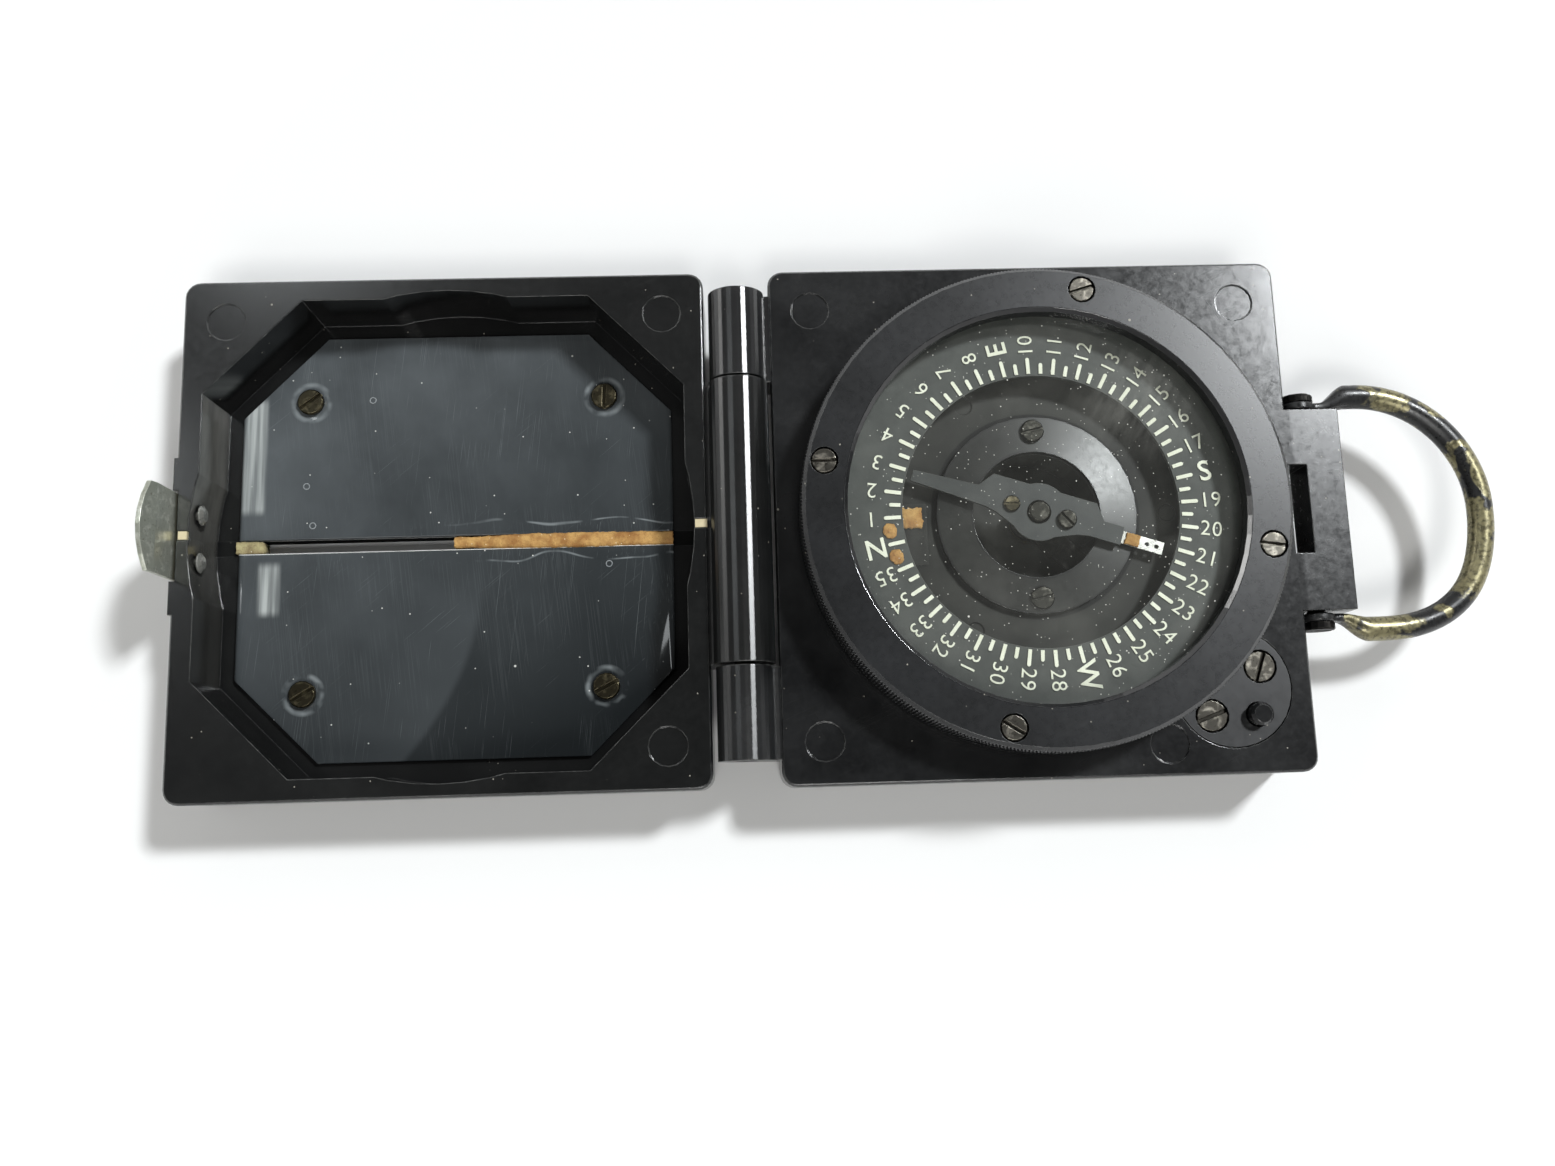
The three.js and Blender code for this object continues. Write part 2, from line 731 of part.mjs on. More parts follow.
function makeNeedleBlade() {
  const shoulder = bossHalf - bossSlope;
  const neck = bossHalf + bossSlope;
  const tailHalf = armHalf * tailTaper;
  const body = outline([
    [-needleTail, -tailHalf], [-bossHalf, -armHalf], [-shoulder, -bossSlope], [shoulder, -bossSlope],
    [bossHalf, -armHalf], [armReach, -armHalf], [armReach, armHalf], [neck, armHalf],
    [bossHalf, bossShoulder], [-bossHalf, bossShoulder], [-neck, armHalf], [-needleTail, tailHalf],
  ]);
  const belly = outline([[-shoulder, -bossSlope], [0, -bossRadius], [shoulder, -bossSlope]]);
  const blade = join(
    slab(body, bladeBottom, bladeTop),
    disc(bossRadius, bladeBottom, bladeTop, midSides),
    slab(belly, bladeBottom, bladeTop),
  );
  const capHole = disc(capRadius + pinGap, bladeBottom - sink, bladeTop + sink);
  const screwHoles = [1, -1].map((side) => {
    const hole = holeFor(needleSteelScrew, bladeBottom - sink, bladeTop + sink);
    return hole.translate(side * needleScrewReach, 0, 0);
  });
  return cut(blade, capHole, ...screwHoles);
}

function makeNeedleCap() {
  const flange = capRadius + capFlange;
  const mouth = postRadius - pinGap;
  const roof = bladeTop + seatGap * 2;
  return revolve([
    [mouth, capBottom], [flange, capBottom], [flange, capFlangeTop], [capRadius, capFlangeTop],
    [capRadius, capTop - capEdge], [capRadius - capEdge, capTop], [0, capTop], [0, roof],
    [postTipRadius + pinGap * 2, roof],
  ], smallSides);
}

// Bright plate under the far end of the arm
function makeNeedleTip() {
  const top = bladeBottom - seatGap;
  const plate = box([armReach - tipLap, needleTip], [-tipWidth / 2, tipWidth / 2], [top - tipThickness, top]);
  const holes = tipHoleInsets.map((inset) => {
    return disc(tipHoleRadius, top - sink, top + sink).translate(needleTip - inset, 0, 0);
  });
  return cut(plate, ...holes);
}

function makeNeedlePatch() {
  const bottom = bladeBottom - seatGap / 2;
  const patch = box([0, needleDotLength], [-tipWidth / 2, tipWidth / 2], [bottom, bottom + needleDotHeight]);
  return patch.translate(armReach + needleDotGap, 0, 0);
}

// Thumb ring: a round wire bail, flattened where the pivot screws pass

class Bail extends THREE.Curve {
  getPoint(t) {
    const straight = ringReach - ringCorner - tabLength;
    const bend = (ringCorner * Math.PI) / 2;
    const cross = ringHalf - ringCorner;
    const total = straight + bend + cross;
    const side = t < 0.5 ? 1 : -1;
    const run = (1 - Math.abs(1 - t * 2)) * total;
    if (run < straight) return new THREE.Vector3(tabLength + run, side * ringHalf, 0);
    if (run > straight + bend) return new THREE.Vector3(ringReach, side * (total - run), 0);
    const angle = (run - straight) / ringCorner;
    const x = ringReach - ringCorner + ringCorner * Math.sin(angle);
    return new THREE.Vector3(x, side * (cross + ringCorner * Math.cos(angle)), 0);
  }
}

function makeThumbRing() {
  const section = outline(Array.from({ length: wireSides }, (unused, i) => {
    const angle = (i / wireSides) * Math.PI * 2;
    return [ringWire * Math.cos(angle), ringWire * Math.sin(angle)];
  }));
  const wire = new THREE.ExtrudeGeometry(section, { steps: wireSteps, extrudePath: new Bail() });
  const tabs = [1, -1].flatMap((side) => {
    const low = Math.min(side * tabInner, side * tabOuter);
    const high = Math.max(side * tabInner, side * tabOuter);
    const strap = box([0, tabLength + sink], [low, high], [-tabNeck, tabNeck]);
    const outerEdge = side * (ringHalf + tabLap);
    const rootSpan = [Math.min(low, outerEdge), Math.max(high, outerEdge)];
    const root = box([tabLength - sink, tabLength + sink], rootSpan, [-tabNeck, tabNeck]);
    return [pinAcross(tabRadius, low, high), strap, root];
  });
  const holes = pinAcross(ringShank + pinGap, -ringHalf * 2, ringHalf * 2);
  return cut(join(wire, ...tabs), holes);
}

// Lid, drawn about its own centre with the hinge towards +X

function octagon(inset, bottom, top) {
  const edge = recessHalf - inset;
  const flat = recessFlat - inset * (Math.SQRT2 - 1);
  return slab(outline([
    [edge, -flat], [edge, flat], [flat, edge], [-flat, edge],
    [-edge, flat], [-edge, -flat], [-flat, -edge], [flat, -edge],
  ]), bottom, top);
}

// The hollow for the bezel: an octagon with a round bulge on each side
function bezelHollow() {
  return join(octagon(0, lidFloor, rimZ + sink), disc(recessRound, lidFloor, rimZ + sink, largeSides));
}

function lidScrewPlaces() {
  return [[1, 1], [-1, 1], [-1, -1], [1, -1]].map(([x, y]) => [x * lidScrewSquare, y * lidScrewSquare]);
}

function makeLidShell() {
  const corner = half - markInset;
  const barrelRadius = halvesGap / 2 - lidBarrelClear;
  const body = join(
    caseBlock(),
    knuckle(barrelRadius, -1, -lidBarrelHalf, lidBarrelHalf).translate(hingeReach, 0, hingeZ),
    box([-half - padThickness, -half + sink], [-padHalf, padHalf], [padFoot, rimZ]),
  );
  const slit = box([-slitReach, slitEnd], [-slitHalf, slitHalf], [-sink, lidFloor + sink]);
  const channel = box(
    [-half - padThickness - sink, -catchChannel], [-catchHalf - runGap, catchHalf + runGap],
    [rimZ - catchFoot - runGap, rimZ + sink],
  );
  const bore = pinAcross(hingePinRadius + pinGap, -caseSide, caseSide).translate(hingeReach, 0, hingeZ);
  const rivetHoles = [1, -1].map((side) => {
    const hole = disc(rivetShank + pinGap, -half - sink, -half + recessHalf).rotateY(Math.PI / 2);
    return hole.translate(0, side * rivetReach, rimZ - catchRivetDrop);
  });
  const screwHoles = lidScrewPlaces().map(([x, y]) => {
    const hole = holeFor(lidScrew, celluloidTop - lidScrew.length, lidFloor + sink);
    return hole.translate(x, y, 0);
  });
  const notches = [[-catchChannel - sink, -recessHalf], [recessHalf, half + sink]].map((span) => {
    const side = rimMarkWidth / 2 + seatGap;
    return box(span, [-side, side], [rimZ - rimMarkDepth - seatGap, rimZ + sink]);
  });
  const marks = rimMarks([[-corner, corner], [corner, corner], [corner, -corner]]);
  return cut(
    body, bezelHollow(), slit, channel, bore, ...rivetHoles, ...screwHoles, ...notches, ...marks,
  );
}

function makeCelluloid(side) {
  const sheet = octagon(celluloidInset, celluloidBottom, celluloidTop);
  const span = side > 0 ? [slitHalf, half] : [-half, -slitHalf];
  const halfPlane = box([-half, half], span, [0, caseDepth]);
  const holes = lidScrewPlaces().filter(([, y]) => y * side > 0).map(([x, y]) => {
    return holeFor(lidScrew, 0, caseDepth).translate(x, y, 0);
  });
  return cut(meet(sheet, halfPlane), ...holes);
}

// Strip of compound lying between the two sheets, with a low crown
function makeStrip() {
  const side = slitHalf - seatGap;
  const crown = celluloidTop + stripCrown;
  const section = outline([
    [-side, celluloidBottom], [side, celluloidBottom], [side, celluloidTop],
    [side / 2, crown], [-side / 2, crown], [-side, celluloidTop],
  ]);
  return barAlongX(section, slitEnd + seatGap, celluloidHalf);
}

function makeSlitPlug() {
  const side = slitHalf - seatGap;
  const start = -slitReach + seatGap;
  return box([start, start + slitPlugLength], [-side, side], [seatGap * 4, celluloidTop]);
}

function makeRimMark(span) {
  const [x0, x1] = span;
  return box([x0, x1], [-rimMarkWidth / 2, rimMarkWidth / 2], [rimZ - rimMarkDepth, rimZ]);
}

// Rivet through the end wall, its small head inside and a flat head over the catch
function makeRivet() {
  const inside = Math.sqrt(recessRound ** 2 - rivetReach ** 2) - rivetSeat;
  const outside = catchOuter + runGap;
  const crown = inside - rivetHeadHeight;
  const rim = inside - rivetHeadHeight / 3;
  const flat = outside + rivetHeadHeight / 2;
  return revolve([
    [0, crown], [rivetCrown, crown], [rivetHead, rim], [rivetHead, inside], [rivetShank, inside],
    [rivetShank, outside], [rivetHead, outside], [rivetHead, flat], [0, flat],
  ], holeSides).rotateY(-Math.PI / 2);
}

// Springy tongue, straight over the wall and flared above the rim
function makeCatch() {
  const foot = rimZ - catchFoot;
  const bend = rimZ + catchStraight;
  const tip = rimZ + catchRise + catchTip;
  const profile = outline([
    [-catchInner, foot], [-catchInner, bend], [-catchInner - catchFlare, tip],
    [-catchOuter - catchFlare, tip], [-catchOuter, bend], [-catchOuter, foot],
  ]);
  const face = new THREE.Shape();
  face.moveTo(-catchHalf, foot);
  face.lineTo(catchHalf, foot);
  face.lineTo(catchHalf, rimZ + catchShoulder);
  face.quadraticCurveTo(0, rimZ + 2 * catchRise - catchShoulder, -catchHalf, rimZ + catchShoulder);
  const strip = bar(profile, -catchHalf, catchHalf);
  const trimmed = meet(strip, barAlongX(face, -half - catchRise, -half + sink));
  const holes = [1, -1].map((side) => {
    const hole = disc(rivetShank + runGap, -half - catchRise, 0).rotateY(Math.PI / 2);
    return hole.translate(0, side * rivetReach, rimZ - catchRivetDrop);
  });
  return cut(trimmed, ...holes);
}

// The compass put together

const compass = new THREE.Group();

const base = new THREE.Group();
compass.add(base);
base.add(piece('base_case', makeBaseCase(), bakelite));

const hingePinHalf = half - barrelInset - hingePinShort;
const hingePin = piece('hinge_pin', pinAcross(hingePinRadius, -hingePinHalf, hingePinHalf), darkSteel);
hingePin.position.set(-hingeReach, 0, hingeZ);
base.add(hingePin);

const keeperRing = ring(keeperRadius - keeperWidth, keeperRadius, keeperBottom, keeperTop);
const keeper = piece('bezel_keeper', keeperRing, brass);
keeper.position.z = rimZ;
base.add(keeper);

base.add(piece('centre_plate', makeCentrePlate(), bakelite));
[1, -1].forEach((side, i) => {
  const screw = piece(`plate_screw_${i + 1}`, slottedScrew(plateScrew), darkSteel);
  screw.position.set(0, side * (plateOuter - plateScrewInset), plateTop + seatGap);
  screw.rotation.z = radians(plateSlotTurn);
  base.add(screw);
});
base.add(piece('pivot_post', makePivotPost(), brass));

const leverPin = piece('lever_pin', pinAcross(leverPinRadius, -earOuter, earOuter), darkSteel);
leverPin.position.set(leverPivot * Math.cos(leverBearing), leverPivot * Math.sin(leverBearing), leverZ);
leverPin.rotation.z = leverBearing;
base.add(leverPin);

const lockDisc = piece('lock_disc', makeLockDisc(), bakelite);
lockDisc.position.set(lockX, lockY, 0);
base.add(lockDisc);
lockScrewTurns.forEach((turn, i) => {
  const screw = piece(`lock_screw_${i + 1}`, slottedScrew(lockScrew), darkSteel);
  const x = lockX + lockPitch * Math.cos(radians(turn));
  const y = lockY + lockPitch * Math.sin(radians(turn));
  screw.position.set(x, y, rimZ - lockScrew.rise);
  screw.rotation.z = radians(lockSlotTurns[i]);
  base.add(screw);
});
base.add(piece('plunger_spring', makeSpring(), darkSteel));
base.add(piece('index_patch', makeIndexPatch(), compound));
base.add(piece('index_cover', makeIndexCover(), clear));
[1, -1].forEach((side, i) => {
  const screw = piece(`ring_screw_${i + 1}`, slottedScrew(ringScrew), darkSteel);
  screw.position.set(ringPivotX, side * (tabOuter + seatGap), ringPivotZ);
  screw.rotation.x = side * -Math.PI / 2;
  base.add(screw);
});

const plunger = piece('lock_plunger', makePlunger(), glossBakelite);
plunger.position.set(plungerX, plungerY, 0);
compass.add(plunger);
compass.add(piece('lift_lever', makeLever(), brass));
compass.add(piece('lift_collar', makeCollar(), brass));

const bezel = new THREE.Group();
bezel.position.z = rimZ;
bezel.rotation.z = radians(bezelTurn);
compass.add(bezel);
bezel.add(piece('bezel_ring', makeBezelRing(), bakelite));
bezel.add(piece('bezel_cover', makeBezelCover(), bakelite));
bezel.add(piece('dial_ring', makeDial(), dialBlack));
bezel.add(piece('dial_dot_1', makeDialDot(1), compound));
bezel.add(piece('dial_dot_2', makeDialDot(-1), compound));
bezel.add(piece('glass', disc(dialOuter, glassBottom, glassTop, largeSides), clear));
bezelScrewPlaces().forEach(([x, y], i) => {
  const screw = piece(`bezel_screw_${i + 1}`, slottedScrew(bezelScrew), darkSteel);
  screw.position.set(x, y, bezelHeight - bezelScrew.rise);
  screw.rotation.z = radians(bezelSlotTurns[i]);
  bezel.add(screw);
});

const needle = new THREE.Group();
needle.rotation.z = radians(needleHeading);
compass.add(needle);
needle.add(piece('needle_blade', makeNeedleBlade(), needleBlack));
needle.add(piece('needle_cap', makeNeedleCap(), brass));
needle.add(piece('needle_tip', makeNeedleTip(), silver));
needle.add(piece('needle_patch', makeNeedlePatch(), compound));
const needleScrews = [
  [-1, needleBrassScrew, brass, 'brass', brassSlotTurn],
  [1, needleSteelScrew, darkSteel, 'steel', steelSlotTurn],
];
needleScrews.forEach(([side, size, look, metal, turn]) => {
  const screw = piece(`needle_screw_${metal}`, slottedScrew(size), look);
  screw.position.set(side * needleScrewReach, 0, bladeTop + seatGap);
  screw.rotation.z = radians(turn);
  needle.add(screw);
});

const thumbRing = piece('thumb_ring', makeThumbRing(), lacquer);
thumbRing.position.set(ringPivotX, 0, ringPivotZ);
compass.add(thumbRing);

const lid = new THREE.Group();
lid.position.x = -2 * hingeReach;
compass.add(lid);
lid.add(piece('lid_shell', makeLidShell(), bakelite));
lid.add(piece('celluloid_back', makeCelluloid(1), hazy));
lid.add(piece('celluloid_front', makeCelluloid(-1), hazy));
lidScrewPlaces().forEach(([x, y], i) => {
  const screw = piece(`lid_screw_${i + 1}`, slottedScrew(lidScrew), brass);
  screw.position.set(x, y, celluloidTop + seatGap);
  screw.rotation.z = radians(lidSlotTurns[i]);
  lid.add(screw);
});
lid.add(piece('compound_strip', makeStrip(), compound));
lid.add(piece('slit_plug', makeSlitPlug(), compound));
const endMarkSpan = [-catchChannel + seatGap * 2, -recessRound - seatGap];
const hingeMarkSpan = [recessRound + seatGap, half - seatGap];
lid.add(piece('rim_mark_end', makeRimMark(endMarkSpan), cream));
lid.add(piece('rim_mark_hinge', makeRimMark(hingeMarkSpan), cream));
[1, -1].forEach((side, i) => {
  const rivet = piece(`catch_rivet_${i + 1}`, makeRivet(), nickel);
  rivet.position.set(0, side * rivetReach, rimZ - catchRivetDrop);
  lid.add(rivet);
});
lid.add(piece('catch_spring', makeCatch(), nickel));

export default compass;
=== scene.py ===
import math
import bmesh
import bpy
from mathutils import Euler, Matrix, Vector, noise


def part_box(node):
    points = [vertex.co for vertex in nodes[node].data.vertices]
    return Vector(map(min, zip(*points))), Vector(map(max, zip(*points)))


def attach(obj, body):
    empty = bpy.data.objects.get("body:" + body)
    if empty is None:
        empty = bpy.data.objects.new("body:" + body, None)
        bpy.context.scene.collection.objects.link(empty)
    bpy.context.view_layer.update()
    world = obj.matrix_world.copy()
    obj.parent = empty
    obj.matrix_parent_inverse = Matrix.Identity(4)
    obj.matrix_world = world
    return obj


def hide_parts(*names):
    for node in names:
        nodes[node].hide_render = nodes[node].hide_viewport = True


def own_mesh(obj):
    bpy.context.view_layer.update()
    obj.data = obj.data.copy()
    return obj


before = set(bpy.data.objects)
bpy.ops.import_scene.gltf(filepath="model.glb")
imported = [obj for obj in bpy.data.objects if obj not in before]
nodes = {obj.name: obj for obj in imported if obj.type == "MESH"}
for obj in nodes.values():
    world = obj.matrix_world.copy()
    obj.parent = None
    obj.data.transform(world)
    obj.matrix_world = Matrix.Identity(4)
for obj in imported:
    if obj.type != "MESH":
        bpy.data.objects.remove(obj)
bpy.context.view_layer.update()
mm = 0.001
hingeX = -42.8  # mm, axis between the two halves
lidX = -85.6  # mm, middle of the lid
bezelTurn = 11.8  # degrees the dial stands off square
rimZ = 13.0  # mm, rims of both halves
print("frame loaded,", len(nodes), "nodes")


def putInScene(name, data):
    thing = bpy.data.objects.new(name, data)
    bpy.context.scene.collection.objects.link(thing)
    return thing


# camera

viewSetup = {
    "place": (-43.364, -39.849, 196.422),  # mm
    "turn": (9.57368, -1.43466, -1.72989),  # degrees
    "lens": 30.096, "sensor": 36.0,
    "clip": (0.01, 20.0),  # m
}


def setCamera(setup):
    data = bpy.data.cameras.new("tableCamera")
    data.sensor_fit = "HORIZONTAL"
    data.sensor_width = setup["sensor"]
    data.lens = setup["lens"]
    data.clip_start, data.clip_end = setup["clip"]
    camera = putInScene("tableCamera", data)
    camera.location = Vector(setup["place"]) * mm
    camera.rotation_euler = Euler([math.radians(a) for a in setup["turn"]], "XYZ")
    bpy.context.scene.camera = camera


setCamera(viewSetup)
bpy.context.scene.view_settings.view_transform = "Standard"
print("camera set")


# node helpers shared by all finishes; a socket knows its own tree

def feed(socket, value):
    if isinstance(value, bpy.types.NodeSocket):
        socket.id_data.links.new(value, socket)
    else:
        socket.default_value = value


def fill(node, inputs):
    for key, value in inputs.items():
        feed(node.inputs[key], value)


def addNode(tree, kind, inputs=None, **settings):
    node = tree.nodes.new("ShaderNode" + kind)
    for key, value in settings.items():
        setattr(node, key, value)
    fill(node, inputs or {})
    return node


def reckon(operation, first, second=0.0, clamp=False):
    tree = next(value.id_data for value in (first, second) if isinstance(value, bpy.types.NodeSocket))
    return addNode(tree, "Math", {0: first, 1: second}, operation=operation, use_clamp=clamp).outputs[0]


def times(first, second):
    return reckon("MULTIPLY", first, second)


# how far two values lie apart
def gap(first, second):
    return reckon("ABSOLUTE", reckon("SUBTRACT", first, second))


def strongest(masks):
    mask = masks[0]
    for other in masks[1:]:
        mask = reckon("MAXIMUM", mask, other)
    return mask


# a value between low and high brought to the run from least to most, clamped
def band(value, low, high, least=0.0, most=1.0, soft=False):
    ends = {"Value": value, "From Min": low, "From Max": high, "To Min": least, "To Max": most}
    shape = "SMOOTHSTEP" if soft else "LINEAR"
    return addNode(value.id_data, "MapRange", ends, clamp=True, interpolation_type=shape).outputs["Result"]


def blendValue(share, first, second):
    return addNode(share.id_data, "Mix", {"Factor": share, 2: first, 3: second}, data_type="FLOAT").outputs[0]


def mixTone(share, first, second):
    tones = [tone if isinstance(tone, bpy.types.NodeSocket) else (*tone, 1.0) for tone in (first, second)]
    return addNode(share.id_data, "Mix", {"Factor": share, 6: tones[0], 7: tones[1]}, data_type="RGBA").outputs[2]


# tones laid over the first one, each by its own share
def layTones(tone, layers):
    for share, over in layers:
        tone = mixTone(share, tone, over)
    return tone


def steer(operation, *vectors):
    node = addNode(vectors[0].id_data, "VectorMath", dict(enumerate(vectors)), operation=operation)
    return node.outputs["Value" if operation in ("LENGTH", "DISTANCE", "DOT_PRODUCT") else "Vector"]


# where a point lies, in units of size millimetres, turned about z
def lie(tree, size=(1, 1, 1), turn=0.0):
    coord = addNode(tree, "TexCoord")
    mapping = addNode(tree, "Mapping", {
        "Vector": coord.outputs["Object"],
        "Rotation": (0, 0, math.radians(turn)),
        "Scale": [s * mm for s in size],
    }, vector_type="TEXTURE")
    return mapping.outputs["Vector"]


flat = (1, 1, 1e6)  # so coarse in z that height counts for nothing
mostNoise = (0.3, 0.7)  # levels that a noise mostly keeps between
edgeLean = (0.995, 0.84)  # cosines between soft and plain normal, from no edge to full edge


def fromAxis(tree):  # mm from the axis of bezel and needle
    return steer("LENGTH", lie(tree, flat))


def axes(tree, vector=None):
    return addNode(tree, "SeparateXYZ", {0: lie(tree) if vector is None else vector}).outputs


def grain(tree, size, detail=3.0, rough=0.55, turn=0.0, warp=0.0):
    size = size if isinstance(size, tuple) else (size, size, size)
    return addNode(tree, "TexNoise", {
        "Vector": lie(tree, size, turn), "Scale": 1.0, "Detail": detail, "Roughness": rough, "Distortion": warp,
    }).outputs[0]


# loose specks of dust: small spots in some cells of a random net
def specks(tree, spacing, radius, share, core=0.6):
    cells = addNode(tree, "TexVoronoi", {"Vector": lie(tree, (spacing, spacing, spacing)), "Scale": 1.0})
    draw = addNode(tree, "SeparateColor", {0: cells.outputs["Color"]})
    spot = band(cells.outputs["Distance"], radius / spacing, core * radius / spacing)
    return times(spot, band(draw.outputs[0], 1 - share, 1 - share + 0.01))


def dustOf(tree, look):
    return strongest([specks(tree, *layer) for layer in look["specks"]])


# hair scratches: a noise drawn out long and cut to a thin band
def scratches(tree, length, width, turn, level, patch, thin=0.035):
    lines = grain(tree, (length, width, width), detail=2.0, turn=turn)
    some = band(grain(tree, patch, detail=1.0), 0.45, 0.6)
    return times(band(lines, level, level + thin), some)


def linesOf(tree, rows):
    return strongest([scratches(tree, *row) for row in rows])


# soft edge normal and a mask that is 1 along outer edges
def softEdge(tree, radius):
    normal = addNode(tree, "Bevel", {"Radius": radius * mm}, samples=6).outputs["Normal"]
    plain = addNode(tree, "NewGeometry").outputs["Normal"]
    return normal, band(steer("DOT_PRODUCT", normal, plain), *edgeLean)


# 0 in slots and corners, 1 in the open
def openness(tree, distance):
    return addNode(tree, "AmbientOcclusion", {"Distance": distance * mm}, samples=6).outputs["AO"]


def bump(height, strength, distance, normal=None):
    node = addNode(height.id_data, "Bump", {"Strength": strength, "Distance": distance * mm, "Height": height})
    if normal is not None:
        feed(node.inputs["Normal"], normal)
    return node.outputs["Normal"]


def blankFinish(name):
    finish = bpy.data.materials.new(name)
    finish.use_nodes = True
    finish.node_tree.nodes.clear()
    return finish, finish.node_tree


def newFinish(name):
    finish, tree = blankFinish(name)
    skin = addNode(tree, "BsdfPrincipled")
    addNode(tree, "OutputMaterial", {"Surface": skin.outputs[0]})
    return finish, tree, skin


# black moulded plastic

mouldedLook = {
    "black": (0.0052, 0.0054, 0.0058),
    "faded": (0.021, 0.0216, 0.0222),
    "edge": (0.13, 0.132, 0.124),
    "dust": (0.33, 0.31, 0.26),
    # dust with a painted sheen on the walls that face the hinge
    "wall": (0.13, 0.128, 0.116),
    "well": (0.042, 0.0426, 0.0385),
    "rough": (0.15, 0.225), "edgeRough": 0.18, "lipRough": 0.12, "dustRough": 0.3,
    "shine": (0.5, 0.7),  # rubbed edges are polished
    "ior": 1.58,
    "dustAndSheen": 0.75, "scratchy": 0.05, "filmAndSheenShares": (0.6, 1.0), "ringShadeShares": (0.6, 1.0),  # shares
    "rings": (14.95,), "ringShadeLine": (0.42, 0.2), "corner": 1.6,  # mm, painted shade round the ring plate and in corners
    "lipEdge": 0.06,  # mm
    "clouds": 13.0, "flow": 0.9, "rubs": 1.7, "filmAndSheen": (9.0, 9.0, 2.5),  # mm, grain
    "pits": 0.3, "pitDepth": 0.02, "pitShare": 0.12,
    # mm long and wide, degrees, level of the noise, mm of the patches they keep to
    "scratches": [(26.0, 0.12, 24.0, 0.67, 9.0), (18.0, 0.1, -57.0, 0.67, 9.0)],
    "specks": [(1.3, 0.13, 0.16), (4.6, 0.22, 0.16)],  # mm apart, mm in radius, share of places
}
lidLook = dict(mouldedLook, black=(0.0062, 0.0065, 0.0065), faded=(0.0125, 0.0129, 0.0127))
lockLook = dict(mouldedLook, black=(0.0026, 0.0029, 0.0035), faded=(0.012, 0.0128, 0.0142), edge=(0.2, 0.205, 0.2),
                rough=(0.33, 0.4), dustAndSheen=1.0)
satinLook = dict(lockLook, rough=(0.262, 0.302), lip=28.55)  # mm, lip wiped bright with the glass
wellLook = dict(mouldedLook, black=(0.014, 0.0145, 0.013), faded=(0.026, 0.027, 0.0245), rough=(0.32, 0.38), dustAndSheen=0.9,
                dome=0.125, rings=(14.6, 9.3))  # slope of the ring plate; mm, its rims with painted shade
polishLook = dict(mouldedLook, rough=(0.12, 0.2))

# parts of a half's surface that look different: mm where each one starts and is full
zoneSize = {
    "barrel": (4.9, 4.6),  # from the hinge's axis
    "hollow": (36.3, 36.2),  # from the lid's middle, both ways
    "wallTop": (rimZ - 0.05, rimZ - 0.4),
    "dustAndSheenFace": (0.75, 0.95),  # how squarely the wall faces the hinge, where the light falls; those walls get dust and a painted sheen
    "dustAndSheenPart": (-14.0, 8.0), "dustAndSheenShare": (0.25, 1.0),
    "slit": (1.2, 1.1), "slitTop": (2.9, 2.6),
    "well": (24.2, 24.0), "wellTop": (12.9, 12.6),
    "lug": (38.4, 38.9),
}
zoneRough = {"barrel": (0.22, 0.26), "wall": (0.16, 0.16), "lug": (0.185, 0.29), "well": (0.4, 0.4), "slit": (0.9, 0.9)}
zoneShine = {"slit": 0.0, "well": 0.25}
turningMarks = 0.9  # stretch of the gleam along the barrel


def halfZones(tree, size):
    x, y, z = axes(tree)
    facing = axes(tree, addNode(tree, "NewGeometry").outputs["Normal"])
    besideY = reckon("ABSOLUTE", y)
    hollow = times(band(gap(x, lidX), *size["hollow"]), band(besideY, *size["hollow"]))
    wall = times(hollow, band(z, *size["wallTop"]))
    # dust and painted sheen on the walls facing the hinge, more towards the back
    dustAndSheen = times(wall, band(facing[0], *size["dustAndSheenFace"]))
    floor = times(hollow, band(z, *size["slitTop"]))
    return {
        "barrel": band(gap(x, hingeX), *size["barrel"]),
        "wall": wall,
        "dustAndSheen": times(dustAndSheen, band(y, *size["dustAndSheenPart"], *size["dustAndSheenShare"], soft=True)),
        "well": times(band(fromAxis(tree), *size["well"]), band(z, *size["wellTop"])),
        "slit": times(band(besideY, *size["slit"]), floor),
        "lug": band(x, *size["lug"]),
    }


